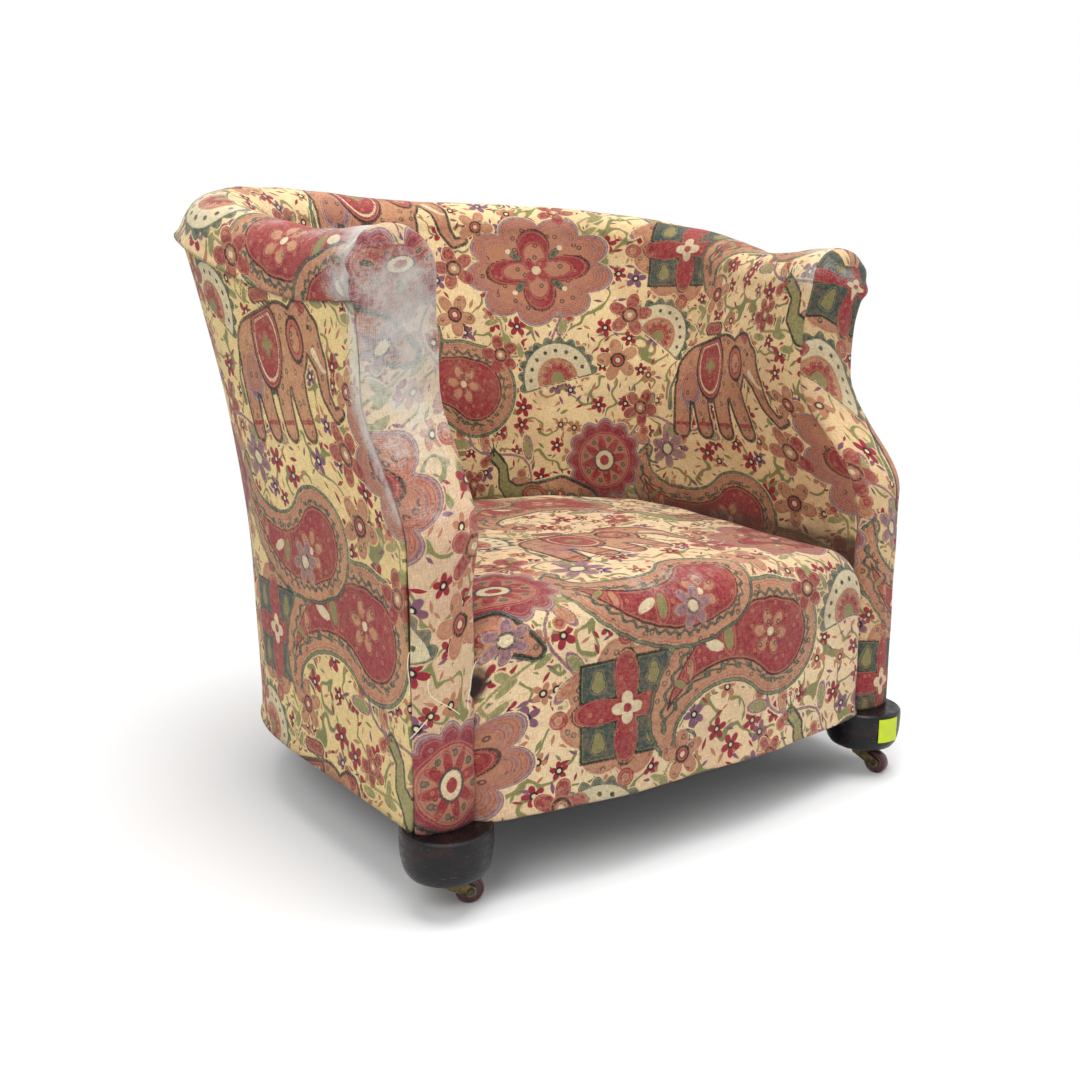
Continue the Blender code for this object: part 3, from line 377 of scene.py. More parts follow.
def paisley(x, y, paint):
    spine = []
    for k in range(15):
        t = k / 14
        turn, reach, radius = 0.4 + 3.0 * t, 0.052 - 0.014 * t, 0.040 * (1 - t) ** 1.15 + 0.0025
        spine.append((reach * math.cos(turn) * 1.45 - 0.035, reach * math.sin(turn) - 0.004, radius))
    body = limb(x, y, *spine)
    paint("green", body - 0.0045)
    paint("tan", body - 0.0010)
    angle = np.arctan2(y + 0.01, x - 0.01)
    teeth = 0.0016 * np.sin(angle * 46)
    paint("green", line(body + 0.0085 + teeth, 0.0030))
    paint("crimson", body + 0.0125)
    paint("dark", line(body + 0.0125, 0.0018))
    cx, cy = spine[1][0], spine[1][1]
    paint("tan", lobes(x - cx, y - cy, 6, 0.007, 0.0175, 0.5))
    paint("crimson", lobes(x - cx, y - cy, 6, 0.003, 0.010))
    paint("cream", disc(x, y, cx, cy, 0.0035))
    for k, ink in ((4, "olive"), (5, "cream"), (7, "tan"), (8, "olive")):
        px, py, radius = spine[k]
        paint(ink, oval(x, y, px, py, radius * 0.36, radius * 0.16, 0.6 + k))
    tip_x, tip_y, _ = spine[-1]
    turns = np.linspace(3.1, -1.5, 8)
    curl = [(tip_x + 0.012 * math.cos(t) + 0.010, tip_y + 0.012 * math.sin(t), 0.0014) for t in turns]
    paint("green", limb(x, y, *curl))


def elephant(x, y, paint):
    body = limb(x, y, (-0.036, 0.004, 0.030), (0.010, 0.010, 0.033), (0.022, 0.008, 0.029))
    head = limb(x, y, (0.044, 0.022, 0.021), (0.056, 0.016, 0.015))
    trunk = limb(
        x, y, (0.058, 0.014, 0.013), (0.070, -0.006, 0.0085), (0.073, -0.028, 0.0062),
        (0.081, -0.043, 0.0048), (0.092, -0.040, 0.0040),
    )
    shape = np.minimum(np.minimum(body, head), trunk)
    for foot_x, lean in ((-0.055, -0.002), (-0.030, 0.004), (0.006, -0.003), (0.030, 0.003)):
        leg = limb(x, y, (foot_x, -0.008, 0.0125), (foot_x + lean, -0.052, 0.0095))
        shape = np.minimum(shape, leg)
    paint("tan", shape)
    paint("mauve", oval(x, y, -0.045, -0.012, 0.016, 0.020))
    paint("tan", oval(x, y, -0.046, -0.008, 0.012, 0.015))
    rug = np.maximum(oval(x, y, -0.012, 0.012, 0.023, 0.034), body + 0.001)
    paint("crimson", rug)
    paint("cream", line(rug + 0.0048, 0.0018))
    paint("olive", lobes(x + 0.012, y - 0.012, 4, 0.003, 0.0085))
    paint("dark", line(rug, 0.0022))
    ear = oval(x, y, 0.034, 0.014, 0.0115, 0.017, 0.25)
    paint("crimson", ear)
    paint("tan", ear + 0.005)
    paint("dark", line(ear, 0.0022))
    paint("crimson", limb(x, y, (0.050, 0.036, 0.004), (0.040, 0.045, 0.0035)))
    paint("cream", limb(x, y, (0.060, 0.004, 0.0032), (0.072, -0.010, 0.0015), (0.082, -0.012, 0.001)))
    paint("dark", disc(x, y, 0.056, 0.022, 0.0022))
    paint("green", limb(x, y, (-0.065, 0.008, 0.0018), (-0.074, -0.010, 0.0016), (-0.073, -0.030, 0.0035)))
    seat = limb(x, y, (-0.020, 0.050, 0.006), (-0.002, 0.050, 0.006))
    paint("crimson", seat)
    paint("dark", line(seat, 0.002))
    for foot_x in (-0.057, -0.026, 0.003, 0.033):
        paint("crimson", limb(x, y, (foot_x - 0.007, -0.047, 0.0018), (foot_x + 0.007, -0.047, 0.0018)))
    paint("dark", line(shape, 0.0030))


def peacock(x, y, paint):
    tail = limb(
        x, y, (-0.010, 0.000, 0.013), (-0.038, -0.002, 0.017),
        (-0.066, -0.016, 0.014), (-0.088, -0.044, 0.006),
    )
    paint("green", tail - 0.003)
    paint("tan", tail)
    for k in range(5):
        share = k / 4
        cx, cy = -0.022 - 0.055 * share, -0.001 - 0.026 * share**1.6
        paint("crimson" if k % 2 else "green", oval(x, y, cx, cy, 0.0072, 0.0050, 0.4))
        paint("cream", disc(x, y, cx, cy, 0.0020))
    body = limb(
        x, y, (0.000, 0.000, 0.016), (0.020, 0.004, 0.012), (0.033, 0.020, 0.0072),
        (0.031, 0.040, 0.0054), (0.040, 0.054, 0.0060),
    )
    paint("olive", body)
    wing = oval(x, y, -0.004, 0.002, 0.017, 0.010, 0.3)
    paint("crimson", wing)
    paint("tan", wing + 0.0045)
    paint("dark", line(np.minimum(body, np.minimum(wing, tail)), 0.0026))
    paint("crimson", limb(x, y, (0.046, 0.054, 0.0030), (0.056, 0.050, 0.0008)))
    for k in (-1, 0, 1):
        tip_x, tip_y = 0.038 + 0.008 * k, 0.072
        paint("dark", limb(x, y, (0.040, 0.058, 0.0009), (tip_x, tip_y, 0.0009)))
        paint("crimson", disc(x, y, tip_x, tip_y, 0.0026))
    for k in (-1, 1):
        hip, ankle = (0.006 + 0.004 * k, -0.012, 0.0012), (0.008 + 0.007 * k, -0.034, 0.0012)
        paint("dark", limb(x, y, hip, ankle, (0.017 + 0.007 * k, -0.038, 0.001)))
    paint("dark", disc(x, y, 0.0405, 0.055, 0.0016))


def sprig(x, y, paint):
    stem = [(0.050 * t - 0.025, 0.016 * math.sin(5 * t), 0.0012) for t in np.linspace(0, 1, 7)]
    paint("olive", limb(x, y, *stem))
    for k, (px, py, _) in enumerate(stem[1:]):
        side = 1 if k % 2 else -1
        paint("olive", oval(x, y, px, py + side * 0.008, 0.0085, 0.0034, side * 0.8))
    paint("tan", lobes(x - stem[-1][0] - 0.006, y - stem[-1][1], 5, 0.003, 0.0095))
    paint("crimson", disc(x, y, stem[-1][0] + 0.006, stem[-1][1], 0.003))


def fan(x, y, paint):
    """Half round with a dotted border."""
    half = np.maximum(disc(x, y, 0, 0, 0.043), -y - 0.004)
    paint("green", np.maximum(lobes(x, y, 20, 0.045, 0.052), -y - 0.006))
    paint("cream", half)
    paint("tan", np.maximum(disc(x, y, 0, 0, 0.026), -y - 0.004))
    paint("crimson", np.maximum(lobes(x, y, 12, 0.014, 0.020), -y - 0.004))
    paint("olive", np.maximum(disc(x, y, 0, 0, 0.009), -y - 0.004))
    paint("dark", dots(x, y, 8, 0.0345, 0.0026, math.pi / 16, math.pi))


def vine(x, y, paint):
    """Wandering stem with leaves and buds that fills the ground between the figures."""
    stem = [(0.110 * t - 0.055, 0.018 * math.sin(6 * t), 0.0014) for t in np.linspace(0, 1, 11)]
    paint("mauve", limb(x, y, *stem))
    for k, (px, py, _) in enumerate(stem[1:-1:2]):
        side = 1 if k % 2 else -1
        leaf = oval(x, y, px + 0.004, py + side * 0.0125, 0.0125, 0.0055, side * 0.7)
        paint("olive" if k % 3 else "tan", leaf)
        paint("mauve", line(leaf, 0.0018))
    for k in (2, 6, 10):
        px, py, _ = stem[k]
        paint("tan", disc(x, y, px, py - 0.013, 0.0062))
        paint("crimson", disc(x, y, px, py - 0.013, 0.0034))


RED_FLOWER = flower(5, "crimson", "tan")
TAN_FLOWER = flower(5, "tan", "crimson")
MAUVE_FLOWER = flower(6, "mauve", "cream")

CENTIMETRES = 100
TILE_WIDTH = 0.440
TILE_HEIGHT = 0.400
PRINT_SIZE = 1.22

# Figure, place in the tile, turn, size and mirroring
LAYOUT = (
    (vine, (0.060, 0.110), 0.4, 1.1, 1),
    (vine, (0.270, 0.270), -0.8, 1.1, -1),
    (vine, (0.350, 0.020), 1.9, 1.0, 1),
    (vine, (0.180, 0.385), 0.0, 1.1, 1),
    (vine, (0.440, 0.170), 1.5, 1.0, -1),
    (sprig, (0.030, 0.030), 0.5, 1.2, 1),
    (sprig, (0.255, 0.215), -0.9, 1.2, -1),
    (sprig, (0.395, 0.160), 1.4, 1.1, 1),
    (sprig, (0.150, 0.352), 0.2, 1.2, 1),
    (sprig, (0.290, 0.010), 2.6, 1.1, 1),
    (sprig, (0.100, 0.240), 1.9, 1.0, 1),
    (fan, (0.350, 0.362), 0.25, 1.0, 1),
    (fan, (0.032, 0.214), -0.6, 0.9, -1),
    (cloud, (0.330, 0.095), 0.1, 1.05, 1),
    (blocks, (0.058, 0.318), 0.0, 1.05, 1),
    (paisley, (0.205, 0.318), 0.35, 1.22, 1),
    (paisley, (0.122, 0.040), 2.9, 1.08, -1),
    (rosette, (0.412, 0.262), 0.0, 1.05, 1),
    (elephant, (0.142, 0.168), 0.05, 1.12, 1),
    (peacock, (0.312, 0.218), 0.15, 1.10, -1),
    (RED_FLOWER, (0.232, 0.095), 0.3, 1.1, 1),
    (RED_FLOWER, (0.436, 0.040), 1.1, 1.1, 1),
    (RED_FLOWER, (0.018, 0.128), 0.8, 1.0, 1),
    (RED_FLOWER, (0.278, 0.392), 0.2, 1.0, 1),
    (RED_FLOWER, (0.352, 0.172), 0.9, 0.85, 1),
    (RED_FLOWER, (0.228, 0.238), 0.5, 0.8, 1),
    (TAN_FLOWER, (0.225, 0.040), 0.7, 1.1, 1),
    (TAN_FLOWER, (0.120, 0.262), 0.1, 1.0, 1),
    (TAN_FLOWER, (0.425, 0.385), 1.5, 1.1, 1),
    (TAN_FLOWER, (0.262, 0.145), 0.9, 0.9, 1),
    (MAUVE_FLOWER, (0.062, 0.080), 0.4, 1.0, 1),
    (MAUVE_FLOWER, (0.395, 0.200), 0.0, 0.8, 1),
    (MAUVE_FLOWER, (0.130, 0.395), 0.9, 0.9, 1),
)


def tiles_over(values, size, before):
    return range(math.floor(values.min() / size) - before, math.ceil(values.max() / size) + 1)


def print_cloth(u, v, shift):
    """Tiles the cloth. Every second column of tiles is moved up by half a tile."""
    cloth = Cloth(u / PRINT_SIZE + shift[0], v / PRINT_SIZE + shift[1])
    columns = tiles_over(cloth.u, TILE_WIDTH, 1)
    rows = tiles_over(cloth.v, TILE_HEIGHT, 2)
    for figure, place, turn, size, flip in LAYOUT:
        for i in columns:
            for j in rows:
                lift = TILE_HEIGHT / 2 if i % 2 else 0
                tile_place = (place[0] + i * TILE_WIDTH, place[1] + j * TILE_HEIGHT + lift)
                cloth.motif(figure, tile_place, turn, size, flip)
    return {ink: distance * PRINT_SIZE for ink, distance in cloth.inks.items()}


# Making the upholstery


def add_object(name, data):
    made = bpy.data.objects.new(name, data)
    bpy.context.scene.collection.objects.link(made)
    return made


def bent_grid(name, columns, rows, place, outward):
    """A flat grid bent to shape: place gives a point for each p and q from 0 to 1."""
    bm = bmesh.new()
    bmesh.ops.create_grid(bm, x_segments=columns, y_segments=rows, size=0.5)
    mesh = bpy.data.meshes.new(name)
    bm.to_mesh(mesh)
    bm.free()
    flat = np.empty(len(mesh.vertices) * 3)
    mesh.vertices.foreach_get("co", flat)
    flat = flat.reshape(-1, 3)
    p, q = flat[:, 0] + 0.5, flat[:, 1] + 0.5
    points = place(p, q)
    mesh.vertices.foreach_set("co", points.ravel())
    mesh.update()
    middle = mesh.polygons[len(mesh.polygons) // 2 + columns // 2]
    if middle.normal.dot(outward(middle.center)) < 0:
        mesh.flip_normals()
    mesh.shade_smooth()
    return add_object(name, mesh), p, q


def raised(place, height):
    """place, moved along its own normal by height."""
    step, tiny = 0.0015, 1e-12

    def moved(p, q):
        along = place(p + step, q) - place(p - step, q)
        across = place(p, q + step) - place(p, q - step)
        normal = np.cross(along, across)
        normal /= np.linalg.norm(normal, axis=-1, keepdims=True) + tiny
        return place(p, q) + normal * height(p, q)[..., None]

    return moved


def store(mesh, name, values):
    mesh.attributes.new(name, "FLOAT", "POINT").data.foreach_set("value", values.astype(np.float32))


def finish_cloth(made, u, v, shift, wear, painted_shade, surface, thickness):
    """Prints the cloth, notes its wear and its painted shade and gives it its thickness."""
    mesh = made.data
    for ink, distance in print_cloth(u, v, shift).items():
        store(mesh, ink, distance * CENTIMETRES)
    store(mesh, "wear", wear)
    store(mesh, "painted_shade", painted_shade)
    uv = mesh.uv_layers.new(name="cloth")
    corners = np.empty(len(mesh.loops), dtype=np.int32)
    mesh.loops.foreach_get("vertex_index", corners)
    uv.data.foreach_set("uv", np.stack([u[corners], v[corners]], axis=-1).ravel().astype(np.float32))
    mesh.materials.append(surface)
    solidify = made.modifiers.new("Thickness", "SOLIDIFY")
    solidify.thickness = thickness
    solidify.offset = -1
    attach(made, "armchair")


def arc_table(place, count=400):
    """Length along a line of points, for p from 0 to 1."""
    p = np.linspace(0, 1, count)
    points = place(p)
    lengths = np.append(0, np.cumsum(np.linalg.norm(np.diff(points, axis=0), axis=1)))
    return p, lengths


# Cloth material


def linear(hex_colour):
    parts = [int(hex_colour[k : k + 2], 16) / 255 for k in (0, 2, 4)]
    return tuple(c / 12.92 if c <= 0.04045 else ((c + 0.055) / 1.055) ** 2.4 for c in parts)


class Nodes:
    """Short words for building a material."""

    def __init__(self, name):
        self.material = bpy.data.materials.new(name)
        self.material.use_nodes = True
        self.tree = self.material.node_tree
        self.shader = self.tree.nodes["Principled BSDF"]

    def fix(self, **values):
        """Plain values on the shader's own sockets, with _ for a space in a name."""
        for name, value in values.items():
            self.shader.inputs[name.replace("_", " ")].default_value = value

    def add(self, kind, **settings):
        node = self.tree.nodes.new(kind)
        for key, value in settings.items():
            setattr(node, key, value)
        return node

    def link(self, source, target):
        self.tree.links.new(source, target)

    def put(self, socket, value):
        if hasattr(value, "links"):
            self.link(value, socket)
        elif isinstance(value, tuple):
            socket.default_value = (*value, 1.0) if len(socket.default_value) == 4 else value
        else:
            socket.default_value = value

    def math(self, operation, a, b=0.0, c=None):
        node = self.add("ShaderNodeMath", operation=operation)
        self.put(node.inputs[0], a)
        self.put(node.inputs[1], b)
        if c is not None:
            self.put(node.inputs[2], c)
        return node.outputs[0]

    def times(self, a, b):
        return self.math("MULTIPLY", a, b)

    def plus(self, a, b):
        return self.math("ADD", a, b)

    def scaled(self, value, factor, offset):
        return self.math("MULTIPLY_ADD", value, factor, offset)

    def between(self, a, b):
        """Size of the difference of a and b."""
        return self.math("ABSOLUTE", self.math("SUBTRACT", a, b))

    def span(self, value, low, high, to_low=0.0, to_high=1.0):
        node = self.add("ShaderNodeMapRange", interpolation_type="SMOOTHSTEP")
        for k, item in enumerate((value, low, high, to_low, to_high)):
            self.put(node.inputs[k], item)
        return node.outputs[0]

    def mix(self, factor, a, b, blend_type="MIX"):
        node = self.add("ShaderNodeMix", data_type="RGBA", blend_type=blend_type)
        self.put(node.inputs[0], factor)
        self.put(node.inputs[6], a)
        self.put(node.inputs[7], b)
        return node.outputs[2]

    def attribute(self, name):
        return self.add("ShaderNodeAttribute", attribute_name=name).outputs["Fac"]

    def noise(self, scale, detail=3.0, roughness=0.55, stretch=(1, 1, 1), vector=None):
        mapping = self.add("ShaderNodeMapping")
        mapping.inputs["Scale"].default_value = stretch
        if vector is None:
            vector = self.add("ShaderNodeTexCoord").outputs["Object"]
        self.link(vector, mapping.inputs["Vector"])
        node = self.add("ShaderNodeTexNoise")
        node.inputs["Scale"].default_value = scale
        node.inputs["Detail"].default_value = detail
        node.inputs["Roughness"].default_value = roughness
        self.link(mapping.outputs[0], node.inputs["Vector"])
        return node.outputs["Fac"]

    def bump(self, height, strength, distance):
        node = self.add("ShaderNodeBump")
        node.inputs["Strength"].default_value = strength
        node.inputs["Distance"].default_value = distance
        self.link(height, node.inputs["Height"])
        self.link(node.outputs[0], self.shader.inputs["Normal"])


INK_COLOURS = {
    "mauve": "785062",
    "tan": "AC7456",
    "olive": "7C7C4C",
    "crimson": "8E2833",
    "green": "234340",
    "cream": "D6C6A0",
    "dark": "18211F",
}
# Lines inside a colour, parallel to its edge: depth in centimetres, ink and strength
INNER_LINES = {
    "tan": ((0.26, "crimson", 0.55), (0.62, "mauve", 0.45)),
    "crimson": ((0.24, "tan", 0.60), (0.58, "dark", 0.45)),
    "mauve": ((0.24, "cream", 0.30),),
    "green": ((0.20, "olive", 0.55),),
}
# Small rings inside a colour: spacing, radius and ink
INNER_SPOTS = {
    "tan": (0.0150, 0.0024, "dark"),
    "crimson": (0.0170, 0.0016, "tan"),
}
# What grows on the free ground: spacing, size and inks
SMALL_LEAVES = (0.0165, 0.0072, ("tan", "olive", "mauve", "tan", "crimson"))
SMALL_FLOWERS = (0.040, 0.0135, ("crimson", "tan", "crimson", "mauve"))
# Material of each cloth: ground and faded ground
PRINT_GROUNDS = {
    "inside_print": ("E0C796", "D8B98A"),
    "outside_print": ("DDC488", "D6B980"),
    "left_front_print": ("CDB38D", "C6A488"),
    "right_front_print": ("D2B486", "CBAA80"),
    "seat_print": ("DEC59C", "D4B48E"),
}
# Colours that lie over the print; the last two are painted shade
MUD = "9A6F5A"
RUBBED = "C4C4BE"
BARE_THREADS = "D8D5CB"
# Brown painted shade for the creases, the hems and the rim of the tear
SHADE_BROWN = "4A3226"
# Near-black painted shade inside the opening of the tear
TEAR_SHADE = "1C1411"
FULL_TURN = 6.283


def ink_colour(ink):
    return linear(INK_COLOURS[ink])


def scatter(n, uv, spacing, randomness):
    """Random spots on the cloth: distance from the spot's middle, angle round it and two random values."""
    spots = n.add("ShaderNodeTexVoronoi", voronoi_dimensions="2D", feature="F1")
    spots.inputs["Scale"].default_value = 1 / spacing
    spots.inputs["Randomness"].default_value = randomness
    n.link(uv, spots.inputs["Vector"])
    away = n.add("ShaderNodeVectorMath", operation="SUBTRACT")
    n.link(uv, away.inputs[0])
    n.link(spots.outputs["Position"], away.inputs[1])
    parts = n.add("ShaderNodeSeparateXYZ")
    n.link(away.outputs[0], parts.inputs[0])
    chance = n.add("ShaderNodeSeparateColor")
    n.link(spots.outputs["Color"], chance.inputs[0])
    x, y = parts.outputs[0], parts.outputs[1]
    distance = n.math("SQRT", n.plus(n.times(x, x), n.times(y, y)))
    angle = n.scaled(chance.outputs[0], FULL_TURN, n.math("ARCTAN2", y, x))
    return distance, angle, chance.outputs[1], chance.outputs[2]


def choose(n, chance, inks):
    """One of the inks by chance."""
    colour = ink_colour(inks[0])
    for k, ink in enumerate(inks[1:], 1):
        colour = n.mix(n.math("GREATER_THAN", chance, k / len(inks)), colour, ink_colour(ink))
    return colour


def small_flowers(n, colour, uv, free, spacing, radius, inks):
    distance, angle, chance, other = scatter(n, uv, spacing, 0.85)
    petals = n.math("ABSOLUTE", n.math("COSINE", n.times(angle, 2.5)))
    reach = n.scaled(petals, radius * 0.62, radius * 0.38)
    size = n.scaled(other, 0.45, 0.70)
    share = n.math("DIVIDE", distance, n.times(reach, size))
    colour = n.mix(n.times(n.span(share, 1.06, 0.92), free), colour, choose(n, chance, inks))
    ring = n.span(n.between(distance, radius * 0.26), radius * 0.12, radius * 0.04)
    colour = n.mix(n.times(ring, free), colour, ink_colour("dark"))
    heart = n.span(distance, radius * 0.20, radius * 0.12)
    return n.mix(n.times(heart, free), colour, ink_colour("cream"))


def small_leaves(n, colour, uv, free, spacing, length, inks):
    distance, angle, chance, other = scatter(n, uv, spacing, 1.0)
    side = n.times(distance, n.math("ABSOLUTE", n.math("SINE", angle)))
    blade = n.plus(n.math("DIVIDE", side, length * 0.40), n.math("DIVIDE", distance, length))
    size = n.scaled(other, 0.6, 0.6)
    cover = n.times(n.span(n.math("DIVIDE", blade, size), 1.05, 0.90), free)
    return n.mix(cover, colour, choose(n, chance, inks))


def free_ground(n, colour, uv, inks):
    """Stems, small leaves and small flowers where no figure lies."""
    nearest = inks[INKS[0]]
    for ink in INKS[1:]:
        nearest = n.math("MINIMUM", nearest, inks[ink])
    free = n.span(nearest, 0.10, 0.22)
    stems = n.between(n.noise(17, 1.5, 0.5, vector=uv), 0.5)
    colour = n.mix(n.times(n.span(stems, 0.020, 0.010), free), colour, ink_colour("olive"))
    colour = small_leaves(n, colour, uv, free, *SMALL_LEAVES)
    return small_flowers(n, colour, uv, free, *SMALL_FLOWERS)


def printed_figures(n, colour, uv, inks):
    """The inks over each other, paler where they are bleached."""
    slow = n.span(n.noise(14, 4, 0.65), 0.42, 0.78, 1.0, 0.82)
    fine = n.span(n.noise(230, 3, 0.7), 0.62, 0.36, 0.80, 1.0)
    bleach = n.times(slow, fine)
    for ink in INKS:
        shade = ink_colour(ink)
        for depth, other, weight in INNER_LINES.get(ink, ()):
            band = n.span(n.between(inks[ink], -depth), 0.085, 0.045, 0.0, weight)
            shade = n.mix(band, shade, ink_colour(other))
        if ink in INNER_SPOTS:
            spacing, radius, other = INNER_SPOTS[ink]
            distance, _, _, chance = scatter(n, uv, spacing, 0.7)
            spot = n.span(n.between(distance, radius), radius * 0.55, radius * 0.30)
            deep = n.times(n.span(inks[ink], -0.38, -0.46), n.math("GREATER_THAN", chance, 0.25))
            shade = n.mix(n.times(n.times(spot, deep), 0.8), shade, ink_colour(other))
        colour = n.mix(n.times(n.span(inks[ink], 0.06, -0.06), bleach), colour, shade)
    return colour


def worn_muddy_and_shaded(n, colour, weave):
    """Muddy patches, threadbare cloth, and painted shade: brown in the creases and along the hems, near-black
    inside the tear.
    """
    colour = n.mix(1.0, colour, n.span(n.noise(5, 3, 0.5), 0.30, 0.70, 0.88, 1.04), "MULTIPLY")
    colour = n.mix(n.span(n.noise(22, 4, 0.65), 0.48, 0.72, 0.0, 0.22), colour, linear(MUD))
    threads = n.scaled(weave, 0.55, -0.55)
    patches = n.scaled(n.noise(30, 5, 0.7), 1.1, -0.55)
    rubbed = n.plus(n.plus(n.attribute("wear"), threads), patches)
    colour = n.mix(n.span(rubbed, 0.22, 0.80, 0.0, 0.70), colour, linear(RUBBED))
    colour = n.mix(n.span(rubbed, 0.78, 1.06, 0.0, 0.80), colour, linear(BARE_THREADS))
    # Painted shade stored on the mesh: brown, broken up by noise, in the creases and along the hems
    painted_shade = n.attribute("painted_shade")
    shade_amount = n.span(n.times(painted_shade, n.plus(n.noise(30, 3, 0.6), 0.55)), 0.15, 1.0, 0.0, 0.85)
    colour = n.mix(shade_amount, colour, linear(SHADE_BROWN))
    # Near-black painted shade where the painted shade is deepest, inside the tear
    return n.mix(n.span(painted_shade, 1.2, 1.9, 0.0, 0.92), colour, linear(TEAR_SHADE))


def printed_cloth(name, ground, faded):
    n = Nodes(name)
    uv = n.add("ShaderNodeUVMap", uv_map="cloth").outputs[0]
    colour = n.mix(n.span(n.noise(9, 4, 0.6), 0.35, 0.70), linear(ground), linear(faded))
    edge = n.scaled(n.noise(420, 2, 0.6), 0.24, -0.12)
    inks = {ink: n.plus(n.attribute(ink), edge) for ink in INKS}
    colour = printed_figures(n, free_ground(n, colour, uv, inks), uv, inks)
    across = n.noise(1.0, 3, 0.6, (110, 1300, 1), uv)
    along = n.noise(1.0, 3, 0.6, (1300, 110, 1), uv)
    weave = n.plus(across, along)
    colour = n.mix(1.0, colour, n.span(weave, 0.76, 1.24, 0.72, 1.12), "MULTIPLY")
    n.put(n.shader.inputs["Base Color"], worn_muddy_and_shaded(n, colour, weave))
    n.fix(Roughness=0.92, Specular_IOR_Level=0.25, Sheen_Weight=0.12, Sheen_Roughness=0.45)
    n.bump(n.plus(weave, n.noise(60, 4, 0.6)), 0.35, 0.0012)
    return n.material


# The wall's cloth


def along_cloth(edge, z):
    """Length along the wall at height z, for p from 0 to 1."""

    def place(p):
        s, a = along_wall(p)
        return wall_place(s, edge(a, z + 0 * p), z + 0 * p)

    return arc_table(place)


ALONG_INSIDE = along_cloth(inner_u, 0.5)
ALONG_OUTSIDE = along_cloth(outer_u, 0.4)


def inside_section(a, q):
    """From the crease over the roll and down the inner face to the tuck."""
    centre_z = roll_centre(a)[1]
    angle = -crease_angle(a) + (math.pi + crease_angle(a)) * np.clip(q / INSIDE_ROLL_SHARE, 0, 1)
    roll_u, roll_z = roll_point(a, angle)
    down = np.clip((q - INSIDE_ROLL_SHARE) / (1 - INSIDE_ROLL_SHARE), 0, 1)
    z = centre_z + (TUCK_Z - centre_z) * down
    on_roll = q < INSIDE_ROLL_SHARE
    return np.where(on_roll, roll_u, inner_u(a, z)), np.where(on_roll, roll_z, z), angle


def inside_place(p, q):
    s, a = along_wall(p)
    u, z, _ = inside_section(a, q)
    return wall_place(s, u, z)


def inside_height(p, q):
    """Lumps of the old stuffing, the sunk seam, gathers at the arm fronts and pulls at the seat."""
    s, a = along_wall(p)
    _, z, angle = inside_section(a, q)
    length = s * HALF_LENGTH
    lumps = 0.0013 * ripple(length, z, 0.16, 3) + 0.0006 * ripple(length, z, 0.06, 5)
    crease = -0.004 * np.exp(-q / 0.012) * (1 + 0.9 * ease(a / 0.5))
    gathers = np.sin(angle * GATHERS + 1.1 * np.sin(a * 60)) * gather_reach(q) * np.exp(-((a / 0.055) ** 2))
    pulls = np.sin(length * 115 + 5 * z) * np.exp(-np.clip(z - SEAT_LINE_Z, 0, 1) / 0.05) * 0.0011
    return lumps + crease + GATHER_HEIGHT * gathers + pulls


def gather_reach(from_crease):
    return bump_at(from_crease, 0.035, 0.055)


def front_wear(s, z, near_front):
    """Threadbare cloth along the front of the left arm, and a little on the right one."""
    left = near_front * bump_at(z, 0.545, 0.145) * (s < 0)
    right = near_front * bump_at(z, 0.63, 0.035) * (s > 0)
    return 0.95 * left + 0.55 * right


def make_inside(surface):
    made, p, q = bent_grid("inside_and_roll_cover", 540, 230, raised(inside_place, inside_height), inward)
    s, a = along_wall(p)
    _, z, angle = inside_section(a, q)
    on_roll = q < INSIDE_ROLL_SHARE
    around = np.where(on_roll, roll_centre(a)[1] + ROLL_RADIUS * (math.pi - angle), z)
    length = np.interp(p, *ALONG_INSIDE)
    near = np.exp(-((a / 0.07) ** 2))
    wear = front_wear(s, z, near) + 0.30 * bump_at(angle, 1.3, 0.7) * on_roll
    # Painted shade: darker low down where the inside meets the seat, and along the crease under the roll
    painted_shade = 0.8 * np.exp(-np.clip(z - 0.300, 0, 1) / 0.022) + 0.5 * np.exp(-q / 0.008)
    finish_cloth(made, length, around, (0.115, -0.235), wear, painted_shade, surface, 0.006)
    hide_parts("inside_cover", "inside_stuffing")


def inward(centre):
    return Vector((-centre.x, -centre.y, 0.0)) if abs(centre.x) + abs(centre.y) > 0 else Vector((0, 0, 1))


def outside_z(a, q, drop):
    """Height from the hem up to the seam, or to this drop below it."""
    seam_z = roll_point(a, -crease_angle(a))[1] - drop
    return HEM_Z + (seam_z - HEM_Z) * q


def outside_place(p, q):
    s, a = along_wall(p)
    z = outside_z(a, q, SEAM_DROP)
    return wall_place(s, outer_u(a, z), z)


def outside_height(p, q):
    length = along_wall(p)[0] * HALF_LENGTH
    z = HEM_Z + 0.55 * q
    lumps = 0.0012 * ripple(length, z, 0.21, 8) - 0.0005
    tuck = -0.0045 * np.exp(-(1 - q) / 0.012) * (1 - 0.9 * ease(along_wall(p)[1] / 0.5))
    hem = -0.0030 * np.exp(-q / 0.010)
    return lumps + tuck + hem


def make_outside(surface):
    made, p, q = bent_grid(
        "outside_cover_cloth", 560, 200, raised(outside_place, outside_height), lambda centre: -inward(centre)
    )
    s, a = along_wall(p)
    z = outside_z(a, q, 0.0)
    length = np.interp(p, *ALONG_OUTSIDE)
    near = np.exp(-((a / 0.035) ** 2))
    wear = 0.8 * near * bump_at(z, 0.50, 0.14) * (s < 0) + 0.25 * bump_at(z, 0.13, 0.05) * near
    # Painted shade: darker along the seam under the roll and along the hem
    painted_shade = 0.7 * np.exp(-(1 - q) / 0.010) + 0.55 * np.exp(-q / 0.02)
    finish_cloth(made, -length, z, (0.29, 0.135), wear, painted_shade, surface, 0.003)
    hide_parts("outside_cover")


# The arm fronts


